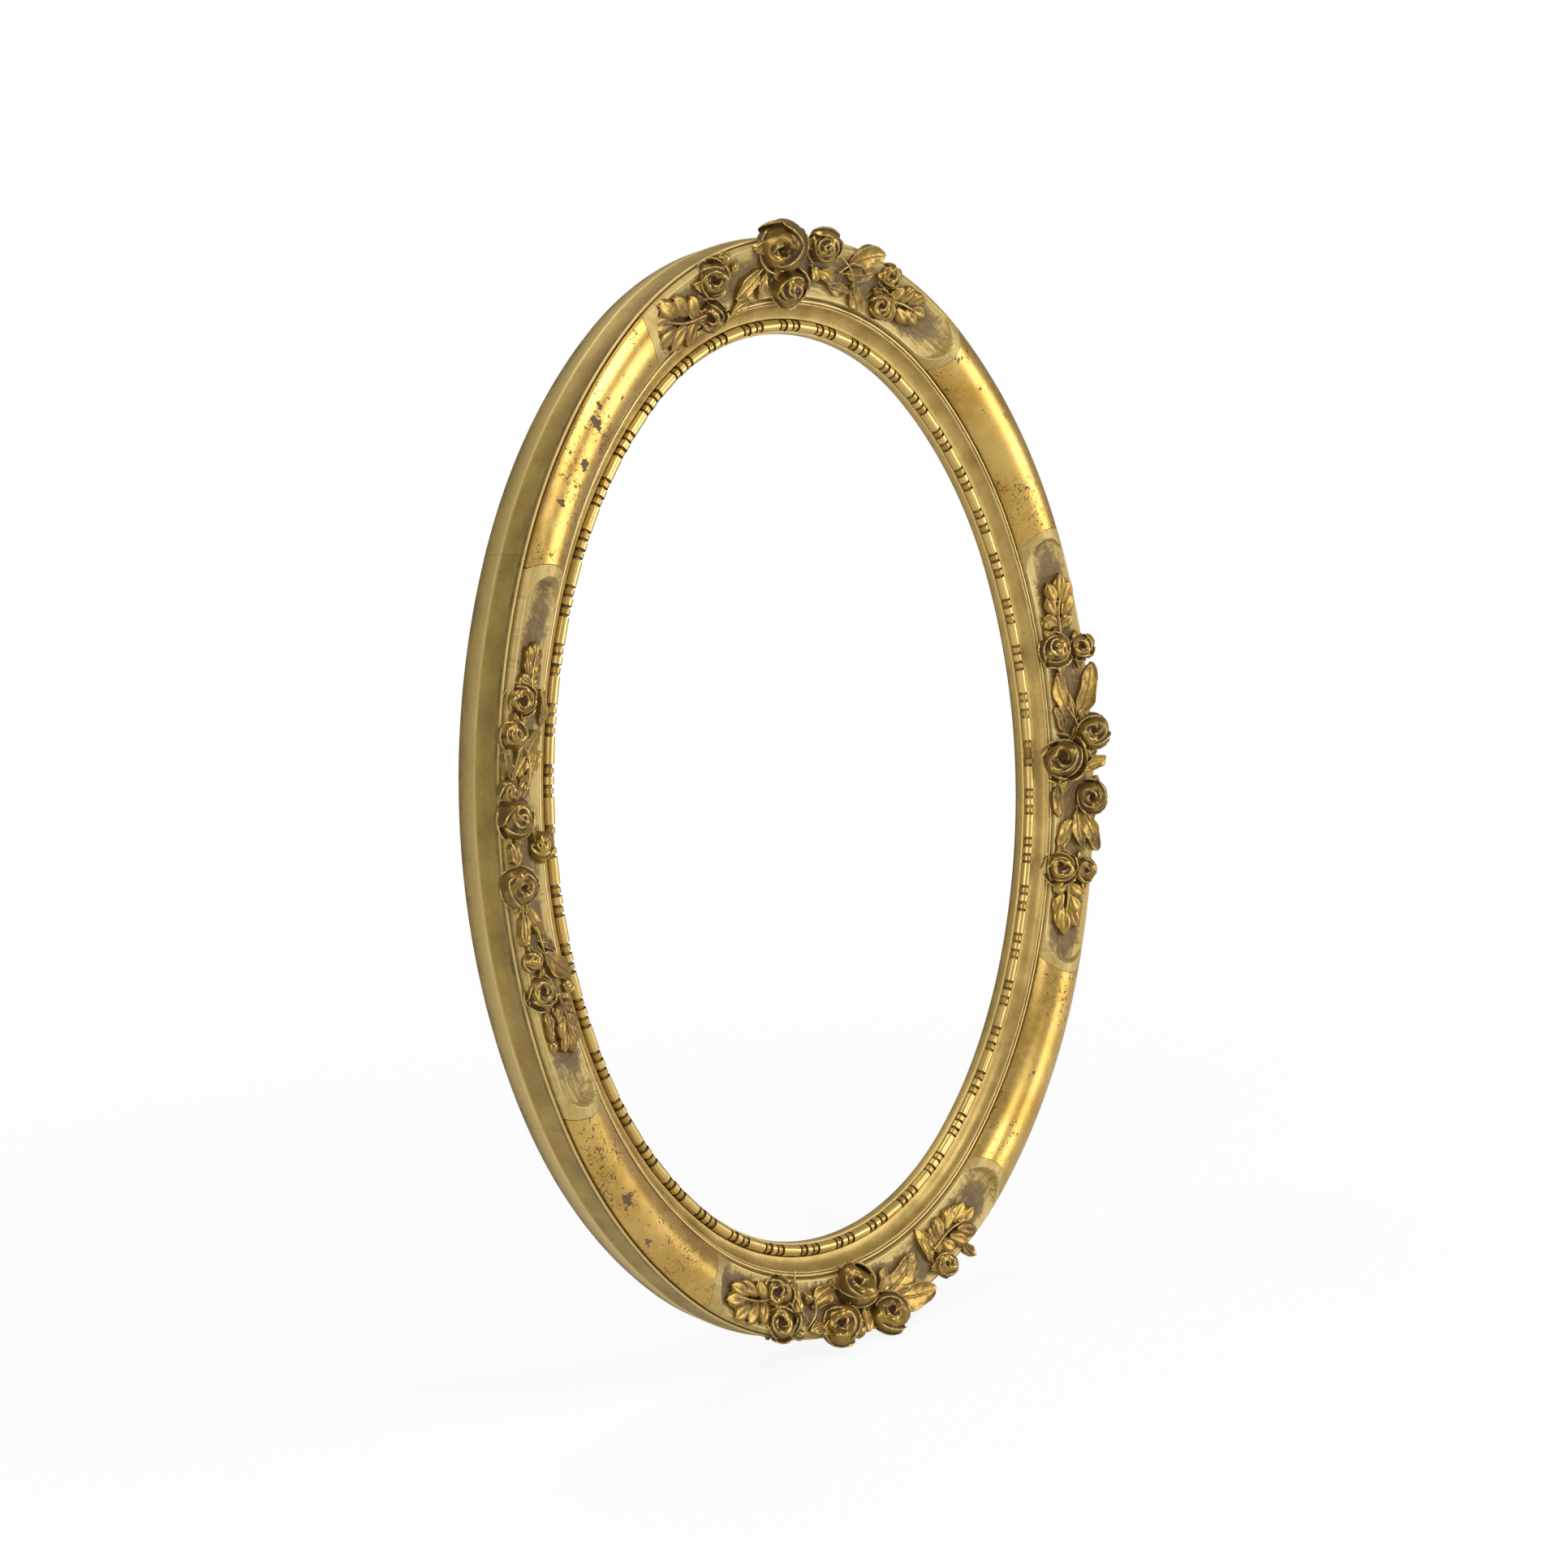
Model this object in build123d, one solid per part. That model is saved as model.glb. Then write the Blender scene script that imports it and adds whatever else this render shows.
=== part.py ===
from build123d import *
import math
import os
from collections import namedtuple

# Oval gilt picture frame with applied flowers, hung on a wall by a ring.
# X runs right, Z up and Y into the wall. The front faces -Y, the back face lies in the plane Y = 0,
# and the origin is the centre of the oval on that back face. All lengths are in millimetres.
#
# A place in the moulding is (offset, depth). Offset is measured outward from the line of beads,
# and depth is measured forward from the back face.

# The oval that the line of beads follows, as eight tangent arcs of three radii
OVAL_HALF_WIDTH = 196.5
OVAL_HALF_HEIGHT = 252.0
END_RADIUS = 161.0
END_HALF_ANGLE = 40.0
SHOULDER_END_ANGLE = 67.0

# Back frame of wood
REBATE_OFFSET = 5.5
REBATE_DEPTH = 8.0
BACK_EDGE_OFFSET = 45.0
ARRIS_OFFSET = 46.6
ARRIS_DEPTH = 13.0
SCOOP_OFFSET = 44.9
LIP_OFFSET = 45.8
LIP_DEPTH = 29.4
LIP_WIDTH = 1.5
BED_RISE_ANGLE = 14.5
BED_INNER_OFFSET = 14.0
BED_INNER_DEPTH = 18.6
GLUE_GAP = 0.1

# Sight moulding: sight edge, bead bed, cove and the fine lines beside it
SIGHT_OFFSET = -4.0
BEAD_BED_DEPTH = 13.0
BEAD_BED_HALF_WIDTH = 3.5
SIGHT_CHAMFER = 0.5
COVE_INNER_DEPTH = 14.8
COVE_OUTER_OFFSET = 10.6
COVE_OUTER_DEPTH = 21.2
COVE_HOLLOW = 1.4
LINE_WIDTH = 0.9
LINE_SIDE = 0.2
LINE_HEIGHT = 0.9

# Burnished rounded moulding
ROUND_RADIUS = 20.0
ROUND_CENTRE_OFFSET = 32.6
ROUND_CENTRE_DEPTH = 14.7
SEAM_WIDTH = 0.5

# Cartouches: the hollowed panels with rounded ends
PAN_INNER_OFFSET = 14.8
PAN_OUTER_OFFSET = 41.4
PAN_HOLLOW = 0.9
PAN_FLANK_RUN = 3.4
PAN_FLANK_RISE = 7.0
END_BAND_RADIUS = 22.0
END_SEAM_WIDTH = 0.3

# Beads and reels
PITCHES_PER_QUARTER = 12
REEL_LENGTH_SHARE = 0.44
BALL_LENGTH_SHARE = 0.11
DISC_LENGTH_SHARE = 0.07
BEAD_RADIUS = 3.1
BEAD_END_RADIUS = 2.3
DISC_RADIUS = 2.8
BEAD_AXIS_HEIGHT = 1.1
STRIP_INSET = 0.1

# Dowels in the joints of the back frame
DOWEL_RADIUS = 3.0
DOWEL_LENGTH = 24.0
DOWEL_DEPTH = 9.5
DOWEL_OFFSETS = (21.0, 36.0)
DOWEL_CLEARANCE = 0.1

# Applied flowers
SPRAY_REACH = 100.0
SEAT_DEPTH = 0.1
SEAT_GAP = 0.2
LEAF_HEIGHT = 2.4
LEAF_HOLLOW = 1.1
RIB_WIDTH = 1.3
RIB_HEIGHT = 0.5
LOBE_HEIGHT = 3.2
LOBE_GROOVE_RADIUS = 0.8

# Hanging ring, its strap and screws
STRAP_WIDTH = 9.0
STRAP_THICKNESS = 1.0
STRAP_PLATE_OFFSET = 21.5
STRAP_PLATE_HEIGHT = 8.0
STRAP_PLATE_LENGTH = 32.0
STRAP_SCREW_SPREAD = 12.0
KNUCKLE_OFFSET = 26.0
KNUCKLE_RADIUS = 2.3
RING_WIRE_RADIUS = 1.1
RING_HALF_WIDTH = 7.5
RING_LENGTH = 18.0
RING_CORNER_RADIUS = 2.5
RUNNING_CLEARANCE = 0.08
REST_CLEARANCE = 0.1

# Turn buttons that hold the backboard, and their screws
BUTTON_ANGLE = 53.5
BUTTON_OFFSET = 17.0
BUTTON_REACH = 17.0
BUTTON_TAIL = 6.0
BUTTON_WIDTH = 9.0
BUTTON_THICKNESS = 1.2
SCREW_SHANK_RADIUS = 1.4
SCREW_LENGTH = 12.0
SCREW_HEAD_RADIUS = 2.7
SCREW_HEAD_HEIGHT = 1.5
SCREW_HOLE_CLEARANCE = 0.05

OVERRUN = 1.0

Arc = namedtuple("Arc", "name start end x z radius")
SIDES = {"top": 0.0, "right": 90.0, "bottom": 180.0, "left": 270.0}

# The flowers of each spray: form, then shares: along the reach (clockwise), across the panel's half
# width (outward), radius of the half width, and the lean of the flower along and outward.
ROSE_SHARES = {
    "top": [
        ("open", -0.744, 0.585, 0.649, -0.64, 0.13),
        ("open", -0.765, -0.792, 0.564, -1.09, 0.04),
        ("bud", -0.634, 1.049, 0.264, -0.6, 0.13),
        ("ball", -0.212, 1.006, 0.935, -0.82, -0.22),
        ("folded", 0.107, 1.02, 0.678, -0.58, -0.18),
        ("folded", -0.113, -0.628, 0.735, -0.56, -0.09),
        ("open", 0.653, 0.763, 0.442, -0.49, 0),
        ("open", 0.666, -0.392, 0.542, -0.44, -0.24),
        ("bud", -0.558, 0.514, 0.207, -0.67, 0.07),
    ],
    "right": [
        ("folded", -0.616, -0.599, 0.735, -0.44, -0.29),
        ("open", -0.598, 0.885, 0.564, -0.38, -0.51),
        ("ball", -0.08, 0.949, 0.742, -0.36, -0.47),
        ("open", 0.055, -0.649, 0.949, -0.13, -0.76),
        ("ball", 0.3, 0.813, 0.706, 0, -0.58),
        ("open", 0.743, -0.692, 0.706, -0.13, -0.56),
        ("ball", 0.738, 0.578, 0.528, 0.07, -0.33),
        ("bud", -0.794, -0.649, 0.243, -0.24, -0.67),
    ],
    "bottom": [
        ("open", 0.743, -0.378, 0.649, 0.8, 0.02),
        ("open", 0.715, 0.649, 0.678, 0.84, 0.27),
        ("ball", 0.246, 0.87, 0.792, 0.87, -0.24),
        ("ball", 0.07, -0.35, 0.863, 0.49, -0.53),
        ("ball", -0.12, 1.113, 0.806, 0.51, -0.4),
        ("ball", -0.64, 0.928, 0.499, 0.4, -0.31),
        ("bud", 0.571, 1.077, 0.214, 0.78, -0.02),
        ("bud", 0.120, 1.285, 0.285, 0.78, -0.42),
        ("bud", 0.47, -0.335, 0.221, 0.78, -0.04),
    ],
    "left": [
        ("open", 0.705, 0.599, 0.542, -0.16, 0.82),
        ("bud", 0.54, 1.027, 0.514, -0.02, 0.82),
        ("folded", 0.165, 0.956, 0.706, -0.02, 0.6),
        ("bud", 0.288, 1.184, 0.435, -0.29, 0.58),
        ("folded", 0.002, -0.735, 0.471, 0.22, 0.89),
        ("ball", -0.151, 0.999, 0.678, 0.02, 0.58),
        ("bud", -0.51, 0.749, 0.385, 0.2, 0.73),
        ("open", -0.675, 0.664, 0.549, 0.27, 0.67),
        ("bud", -0.943, 0.685, 0.193, 0.31, 0.78),
        ("bud", -0.738, -1.142, 0.278, 0.44, 0.71),
    ],
}

# Leaves as shares: along the reach, across the half width, length and width as shares of the half
# width, and the heading in quarter turns from clockwise towards outward.
LEAF_SHARES = {
    "top": [
        (-0.351, 0.078, 1.605, 0.514, -1.67),
        (-0.304, -0.029, 1.035, 0.328, -1.23),
        (-0.429, -0.963, 1.134, 0.271, -1.88),
        (0.339, 0.457, 1.955, 0.485, 0.28),
        (0.339, 0.143, 1.434, 0.435, 0.18),
        (0.409, -0.193, 1.199, 0.485, -0.51),
        (0.398, -0.535, 1.277, 0.378, 2),
        (0.132, 0.021, 0.878, 0.378, -0.28),
        (-0.852, -0.842, 1.234, 0.328, 1.42),
        (0.063, 0.107, 0.599, 0.328, -0.53),
    ],
    "right": [
        (-0.193, 0.342, 2.383, 0.407, 1.77),
        (-0.2, 0, 2.076, 0.571, -1.78),
        (-0.109, -0.499, 1.22, 0.378, -1.77),
        (0.437, -0.164, 1.498, 0.485, -0.31),
        (0.377, 0.086, 1.563, 0.485, 0.1),
        (0.378, 0.35, 1.976, 0.407, 0.29),
        (0.223, -0.956, 1.391, 0.271, 0.04),
        (0.124, 0.535, 1.156, 0.435, 1.23),
        (0.046, 0.564, 0.592, 0.328, 1.26),
        (-0.72, -0.385, 0.778, 0.271, 1.56),
    ],
    "bottom": [
        (-0.136, 0.385, 2.526, 0.649, -1.78),
        (-0.116, 0.271, 1.063, 0.435, -1.34),
        (-0.178, 0.571, 2.654, 0.485, 1.86),
        (0.571, -0.978, 1.577, 0.435, 0.93),
        (0.23, -0.528, 1.648, 0.592, 0.17),
        (0.365, 0.771, 0.985, 0.378, 0.11),
        (-0.576, 0.407, 1.505, 0.485, -0.99),
        (-0.658, 0.528, 1.291, 0.328, -1.03),
        (0.039, 0.521, 0.899, 0.435, 0.87),
        (-0.821, 0.785, 0.856, 0.328, 1.14),
    ],
    "left": [
        (0.356, 0.735, 2.162, 0.435, -0.51),
        (0.346, -0.15, 1.127, 0.378, -0.41),
        (0.334, 0.842, 1.142, 0.271, 0.39),
        (0.288, 0.514, 0.671, 0.378, -0.5),
        (0.602, -0.935, 1.27, 0.378, 0.11),
        (-0.261, 0.521, 1.334, 0.328, -1.63),
        (-0.282, 0.792, 1.12, 0.435, 1.88),
        (-0.452, -0.093, 0.842, 0.271, -1.38),
        (-0.771, 0.557, 1.07, 0.3, 1.89),
        (-0.786, 0.114, 1.035, 0.3, -1.86),
        (-0.52, -0.143, 1.848, 0.271, -1.48),
        (0.048, 1.077, 0.771, 0.435, -1.89),
    ],
}

# A lobed sprig at each end of a spray, as shares: along, across, length and heading as for a leaf
SPRIG_SHARES = {
    "top": [
        (-0.9, -0.485, 2.761, 1.78),
        (0.724, -0.1, 2.119, 0.12),
    ],
    "right": [
        (-0.762, -0.143, 2.312, 1.84),
        (0.829, -0.314, 2.283, 0.04),
    ],
    "bottom": [
        (0.836, -0.05, 2.397, 0.09),
        (-0.692, -0.021, 2.405, 1.97),
    ],
    "left": [
        (0.78, 0.171, 1.555, -0.04),
        (-0.794, -0.35, 1.898, -1.98),
    ],
}

# Lobes of a sprig as shares of its length: place along and across it, heading in quarter turns, length
LOBE_SHARES = [
    (0, 0, -0.64, 0.36),
    (0.02, 0.02, 0.67, 0.38),
    (0.22, -0.07, -0.38, 0.42),
    (0.22, 0.08, 0.40, 0.42),
    (0.44, -0.08, -0.24, 0.44),
    (0.44, 0.09, 0.29, 0.44),
    (0.54, 0, 0.02, 0.46),
]
LOBE_WIDTH_SHARE = 0.24
LOBE_TOP_SHARE = 0.55
SPRIG_STEM_SHARE = 0.6
STALK_SHARE = 0.2
RIB_REACH_SHARE = 0.85

# Half outline of a flower as shares of its radius, as distance from its axis and height: its foot, its
# belly, the groove round its mouth, the rolled rim of the mouth, and the hollow inside
HOLLOW_BLOOM_SHARES = {
    "ball": [
        (0.72, -0.35), (0.97, 0.35), (0.66, 1.04), (0.61, 1.02),
        (0.50, 1.20), (0.36, 1.10), (0.27, 0.58), (0, 0.46),
    ],
    "open": [
        (0.66, -0.35), (0.82, 0.35), (0.66, 0.90), (0.61, 0.88),
        (0.50, 1.10), (0.35, 1.00), (0.26, 0.50), (0, 0.38),
    ],
}
CLOSED_BLOOM_SHARES = [(0.72, -0.35), (0.90, 0.35), (0.52, 1.08), (0.38, 1.17), (0.20, 1.22), (0, 1.24)]

# Petals round a flower: turns where one starts and ends, then shares of the radius for its outer foot,
# its outer rim and its inner rim
PETAL_SHARES = {
    "ball": [
        (0.05, 0.52, (0.98, 0), (1.06, 0.60), (0.90, 0.68)),
        (0.60, 0.96, (0.98, 0), (0.96, 0.92), (0.80, 0.95)),
    ],
    "open": [
        (0.01, 0.19, (0.94, 0), (1.16, 0.48), (1.00, 0.56)),
        (0.21, 0.39, (0.94, 0), (1.16, 0.48), (1.00, 0.56)),
        (0.41, 0.59, (0.94, 0), (1.16, 0.48), (1.00, 0.56)),
        (0.61, 0.79, (0.94, 0), (1.16, 0.48), (1.00, 0.56)),
        (0.81, 0.99, (0.94, 0), (1.16, 0.48), (1.00, 0.56)),
        (0.05, 0.45, (0.84, 0.20), (0.86, 0.84), (0.70, 0.86)),
        (0.52, 0.92, (0.84, 0.20), (0.86, 0.84), (0.70, 0.86)),
    ],
    "folded": [
        (0.02, 0.50, (1.00, 0), (1.06, 0.70), (0.90, 0.78)),
        (0.55, 0.98, (0.98, 0), (0.92, 0.96), (0.76, 1.00)),
    ],
    "bud": [(0.10, 0.62, (0.96, 0), (0.92, 0.80), (0.76, 0.84))],
}
PETAL_CORE_SHARE = 0.45
LEAN_ANGLE = 45.0


def sine(angle):
    return math.sin(math.radians(angle))


def cosine(angle):
    return math.cos(math.radians(angle))


def oval_arcs():
    """The eight arcs, clockwise from the top. The other two radii keep every joint tangent."""
    end_s, end_c = sine(END_HALF_ANGLE), cosine(END_HALF_ANGLE)
    side_s, side_c = sine(SHOULDER_END_ANGLE), cosine(SHOULDER_END_ANGLE)
    across = OVAL_HALF_WIDTH - END_RADIUS * end_s
    upward = OVAL_HALF_HEIGHT - END_RADIUS * (1 - end_c)
    spread = (side_s - end_s) * side_c - (1 - side_s) * (end_c - side_c)
    shoulder_radius = (across * side_c - (1 - side_s) * upward) / spread
    side_radius = ((side_s - end_s) * upward - (end_c - side_c) * across) / spread
    end_z = OVAL_HALF_HEIGHT - END_RADIUS
    shoulder_x = (END_RADIUS - shoulder_radius) * end_s
    shoulder_z = end_z + (END_RADIUS - shoulder_radius) * end_c
    side_x = OVAL_HALF_WIDTH - side_radius
    a, b = END_HALF_ANGLE, SHOULDER_END_ANGLE
    return [
        Arc("top", -a, a, 0, end_z, END_RADIUS),
        Arc("upper_right", a, b, shoulder_x, shoulder_z, shoulder_radius),
        Arc("right", b, 180 - b, side_x, 0, side_radius),
        Arc("lower_right", 180 - b, 180 - a, shoulder_x, -shoulder_z, shoulder_radius),
        Arc("bottom", 180 - a, 180 + a, 0, -end_z, END_RADIUS),
        Arc("lower_left", 180 + a, 180 + b, -shoulder_x, -shoulder_z, shoulder_radius),
        Arc("left", 180 + b, 360 - b, -side_x, 0, side_radius),
        Arc("upper_left", 360 - b, 360 - a, -shoulder_x, shoulder_z, shoulder_radius),
    ]


ARCS = oval_arcs()
ARC_NAMED = {arc.name: arc for arc in ARCS}


def arc_at(angle):
    """The arc that holds a direction, which is an angle clockwise from the top."""
    turned = (angle + END_HALF_ANGLE) % 360 - END_HALF_ANGLE
    for arc in ARCS:
        if arc.start <= turned <= arc.end:
            return arc
    return ARCS[0]


def place(angle, offset, depth, arc=None):
    arc = arc or arc_at(angle)
    reach = arc.radius + offset
    return Vector(arc.x + reach * sine(angle), -depth, arc.z + reach * cosine(angle))


def outward(angle):
    return Vector(sine(angle), 0, cosine(angle))


def clockwise(angle):
    return Vector(cosine(angle), 0, -sine(angle))


def section_plane(arc, angle):
    """Plane of the moulding's section: its x is the distance from the arc's axis, its y the depth."""
    return Plane(origin=(arc.x, 0, arc.z), x_dir=outward(angle), z_dir=clockwise(angle))


def swept(section, arc, start, end):
    face = section_plane(arc, start) * Pos(arc.radius, 0) * section
    return revolve(face, Axis((arc.x, 0, arc.z), (0, 1, 0)), end - start)


def swept_run(section, start, end):
    """The section carried from one direction to another over all the arcs between them."""
    pieces = []
    for arc in ARCS + [a._replace(start=a.start + 360, end=a.end + 360) for a in ARCS]:
        low, high = max(start, arc.start), min(end, arc.end)
        if high - low > 0:
            pieces.append(swept(section, arc, low, high))
    run = pieces[0]
    for piece in pieces[1:]:
        run = run + piece
    return run


def closed(*curves):
    outline = curves[0]
    for curve in curves[1:]:
        outline = outline + curve
    return make_face(outline)


def bed_depth(offset):
    return BED_INNER_DEPTH + (offset - BED_INNER_OFFSET) * math.tan(math.radians(BED_RISE_ANGLE))


def round_depth(offset):
    run = offset - ROUND_CENTRE_OFFSET
    return ROUND_CENTRE_DEPTH + math.sqrt(ROUND_RADIUS ** 2 - run ** 2)


LIP_INNER_OFFSET = LIP_OFFSET - LIP_WIDTH
ROUND_OUTER_OFFSET = LIP_INNER_OFFSET - SEAM_WIDTH
ROUND_INNER_OFFSET = BED_INNER_OFFSET + GLUE_GAP


def carcass_section():
    ledge_depth = REBATE_DEPTH - GLUE_GAP
    lip_top = (LIP_INNER_OFFSET, LIP_DEPTH)
    scoop_depth = (ARRIS_DEPTH + LIP_DEPTH) / 2
    straight = Polyline(
        lip_top,
        (LIP_INNER_OFFSET, bed_depth(LIP_INNER_OFFSET)),
        (BED_INNER_OFFSET, BED_INNER_DEPTH),
        (BED_INNER_OFFSET, ledge_depth),
        (REBATE_OFFSET, ledge_depth),
        (REBATE_OFFSET, 0),
        (BACK_EDGE_OFFSET, 0),
        (ARRIS_OFFSET, ARRIS_DEPTH),
    )
    scoop = ThreePointArc((ARRIS_OFFSET, ARRIS_DEPTH), (SCOOP_OFFSET, scoop_depth), (LIP_OFFSET, LIP_DEPTH))
    lip = Line((LIP_OFFSET, LIP_DEPTH), lip_top)
    return closed(straight, scoop, lip)


def sight_section():
    outer = BED_INNER_OFFSET - GLUE_GAP
    line_outer = outer - LINE_WIDTH
    line_inner = line_outer - LINE_WIDTH - LINE_SIDE * 2
    cove_start = (COVE_OUTER_OFFSET, COVE_OUTER_DEPTH)
    cove_end = (BEAD_BED_HALF_WIDTH, COVE_INNER_DEPTH)
    run = COVE_OUTER_OFFSET - BEAD_BED_HALF_WIDTH
    rise = COVE_OUTER_DEPTH - COVE_INNER_DEPTH
    chord = math.hypot(run, rise)
    hollow = (
        (COVE_OUTER_OFFSET + BEAD_BED_HALF_WIDTH) / 2 + COVE_HOLLOW * rise / chord,
        (COVE_OUTER_DEPTH + COVE_INNER_DEPTH) / 2 - COVE_HOLLOW * run / chord,
    )
    body = Polyline(
        cove_end,
        (BEAD_BED_HALF_WIDTH, BEAD_BED_DEPTH),
        (SIGHT_OFFSET + SIGHT_CHAMFER, BEAD_BED_DEPTH),
        (SIGHT_OFFSET, BEAD_BED_DEPTH - SIGHT_CHAMFER),
        (SIGHT_OFFSET, REBATE_DEPTH),
        (outer, REBATE_DEPTH),
        (outer, COVE_OUTER_DEPTH),
        (line_outer, COVE_OUTER_DEPTH),
        (line_outer - LINE_SIDE, COVE_OUTER_DEPTH + LINE_HEIGHT),
        (line_inner + LINE_SIDE, COVE_OUTER_DEPTH + LINE_HEIGHT),
        (line_inner, COVE_OUTER_DEPTH),
        cove_start,
    )
    return closed(body, ThreePointArc(cove_start, hollow, cove_end))


def round_section():
    inner, outer = ROUND_INNER_OFFSET, ROUND_OUTER_OFFSET
    crown = ThreePointArc(
        (inner, round_depth(inner)),
        (ROUND_CENTRE_OFFSET, ROUND_CENTRE_DEPTH + ROUND_RADIUS),
        (outer, round_depth(outer)),
    )
    sides = Polyline(
        (outer, round_depth(outer)),
        (outer, bed_depth(outer) + GLUE_GAP),
        (inner, bed_depth(inner) + GLUE_GAP),
        (inner, round_depth(inner)),
    )
    return closed(crown, sides)


# The panel's chord runs between its two long edges and carries the flowers.
PAN_INNER = (PAN_INNER_OFFSET, round_depth(PAN_INNER_OFFSET))
PAN_OUTER = (PAN_OUTER_OFFSET, round_depth(PAN_OUTER_OFFSET))
PAN_HALF_WIDTH = math.dist(PAN_INNER, PAN_OUTER) / 2
PAN_MIDDLE = ((PAN_INNER[0] + PAN_OUTER[0]) / 2, (PAN_INNER[1] + PAN_OUTER[1]) / 2)
PAN_TILT = math.degrees(math.atan2(PAN_OUTER[1] - PAN_INNER[1], PAN_OUTER[0] - PAN_INNER[0]))


def pan_half_angle(side):
    """Direction of the centre of the panel's rounded end, from the middle of its side."""
    arc = ARC_NAMED[side]
    return (arc.end - arc.start) / 2 - math.degrees(END_BAND_RADIUS / (arc.radius + PAN_MIDDLE[0]))


def pan_plane(side, angle, across=0.0):
    """Plane on the panel's chord: x runs clockwise, y outward along the chord, z out of the panel."""
    normal = outward(angle) * -sine(PAN_TILT) + Vector(0, -cosine(PAN_TILT), 0)
    along = outward(angle) * cosine(PAN_TILT) + Vector(0, -sine(PAN_TILT), 0)
    middle = place(angle, PAN_MIDDLE[0], PAN_MIDDLE[1], ARC_NAMED[side])
    return Plane(origin=middle + along * across, x_dir=clockwise(angle), z_dir=normal)


def pan_section():
    p, lift = PAN_HALF_WIDTH, PAN_FLANK_RISE
    wide = p + PAN_FLANK_RUN
    flanks = Polyline((p, 0), (wide, lift), (-wide, lift), (-p, 0))
    floor = ThreePointArc((-p, 0), (0, -PAN_HOLLOW), (p, 0))
    return Pos(*PAN_MIDDLE) * Rot(0, 0, PAN_TILT) * closed(flanks, floor)


def pan_end():
    """Round end of the hollow, turned about the panel's normal."""
    p, lift = PAN_HALF_WIDTH, PAN_FLANK_RISE
    floor = TangentArc((0, -PAN_HOLLOW), (p, 0), tangent=(1, 0))
    rest = Polyline((p, 0), (p + PAN_FLANK_RUN, lift), (0, lift), (0, -PAN_HOLLOW))
    return revolve(Plane.XZ * closed(floor, rest), Axis.Z, 360)


def end_band(side, angle, radius):
    """Column round the panel's rounded end. Its seam lies on the panel's side of that end."""
    turn = 180 if angle > SIDES[side] else 0
    return pan_plane(side, angle).location * Rot(0, 0, turn) * Cylinder(radius, ROUND_RADIUS * 2)


def cartouche(side):
    middle, half = SIDES[side], pan_half_angle(side)
    arc = ARC_NAMED[side]
    section = round_section()
    body = swept(section, arc, middle - half, middle + half)
    edge = (arc.end - arc.start) / 2
    for low, high, centre in (
        (middle - edge, middle - half, middle - half),
        (middle + half, middle + edge, middle + half),
    ):
        body = body + (swept(section, arc, low, high) & end_band(side, centre, END_BAND_RADIUS))
    hollow = swept(pan_section(), arc, middle - half, middle + half)
    for centre in (middle - half, middle + half):
        hollow = hollow + pan_plane(side, centre).location * pan_end()
    return body - hollow


def burnished_length(arc, before, after):
    """Plain rounded moulding between two cartouches, ending in a curved butt joint at each."""
    start = SIDES[before] + pan_half_angle(before)
    end = SIDES[after] - pan_half_angle(after)
    if end < start:
        end += 360
    body = swept_run(round_section(), start, end)
    for side, angle in ((before, start), (after, end)):
        body = body - end_band(side, angle, END_BAND_RADIUS + END_SEAM_WIDTH)
    return body


def joint_dowels(arc):
    """Places of the dowels in the joint where an arc's piece ends."""
    points = [place(arc.end, offset, DOWEL_DEPTH, arc) for offset in DOWEL_OFFSETS]
    return [Plane(origin=p, x_dir=outward(arc.end), z_dir=clockwise(arc.end)).location for p in points]


def rod(location, radius, length):
    return location * Cylinder(radius, length)


def back_plane(angle, offset):
    """Plane on the back face with z pointing to the wall and x outward."""
    return Plane(origin=place(angle, offset, 0), x_dir=outward(angle), z_dir=(0, 1, 0))


def button_angles():
    quarter = BUTTON_ANGLE
    return {
        "upper_right": quarter,
        "lower_right": 180 - quarter,
        "lower_left": 180 + quarter,
        "upper_left": 360 - quarter,
    }


def screw_seats():
    """Each wood screw: the plane it enters and the height of its head's seat above the back face."""
    button_seat = REST_CLEARANCE * 2 + BUTTON_THICKNESS
    plate = back_plane(0, STRAP_PLATE_OFFSET)
    strap = []
    for spread in (-STRAP_SCREW_SPREAD, STRAP_SCREW_SPREAD):
        strap.append((Plane(plate.location * Pos(0, spread, 0)), STRAP_THICKNESS))
    buttons = [(back_plane(angle, BUTTON_OFFSET), button_seat) for angle in button_angles().values()]
    return strap, buttons


def wood_screw(seat):
    """Round head above z = seat, with a plain shank that ends in a point."""
    point = SCREW_SHANK_RADIUS
    profile = Polyline(
        (0, seat + SCREW_HEAD_HEIGHT),
        (SCREW_HEAD_RADIUS / 2, seat + SCREW_HEAD_HEIGHT),
        (SCREW_HEAD_RADIUS, seat + SCREW_HEAD_HEIGHT / 3),
        (SCREW_HEAD_RADIUS, seat),
        (SCREW_SHANK_RADIUS, seat),
        (SCREW_SHANK_RADIUS, point - SCREW_LENGTH),
        (0, -SCREW_LENGTH),
        (0, seat + SCREW_HEAD_HEIGHT),
    )
    return revolve(Plane.XZ * make_face(profile), Axis.Z, 360)


def screw_hole(plane):
    length = SCREW_LENGTH + OVERRUN
    hole = Cylinder(SCREW_SHANK_RADIUS + SCREW_HOLE_CLEARANCE, length * 2)
    return plane.location * hole


def carcass(arc):
    body = swept(carcass_section(), arc, arc.start, arc.end)
    before = ARCS[ARCS.index(arc) - 1]
    for location in joint_dowels(before) + joint_dowels(arc):
        body = body - rod(location, DOWEL_RADIUS + DOWEL_CLEARANCE, DOWEL_LENGTH + DOWEL_CLEARANCE * 2)
    strap, buttons = screw_seats()
    for plane, _ in strap + buttons:
        if arc_holds(arc, plane.origin):
            body = body - screw_hole(plane)
    return body


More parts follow.
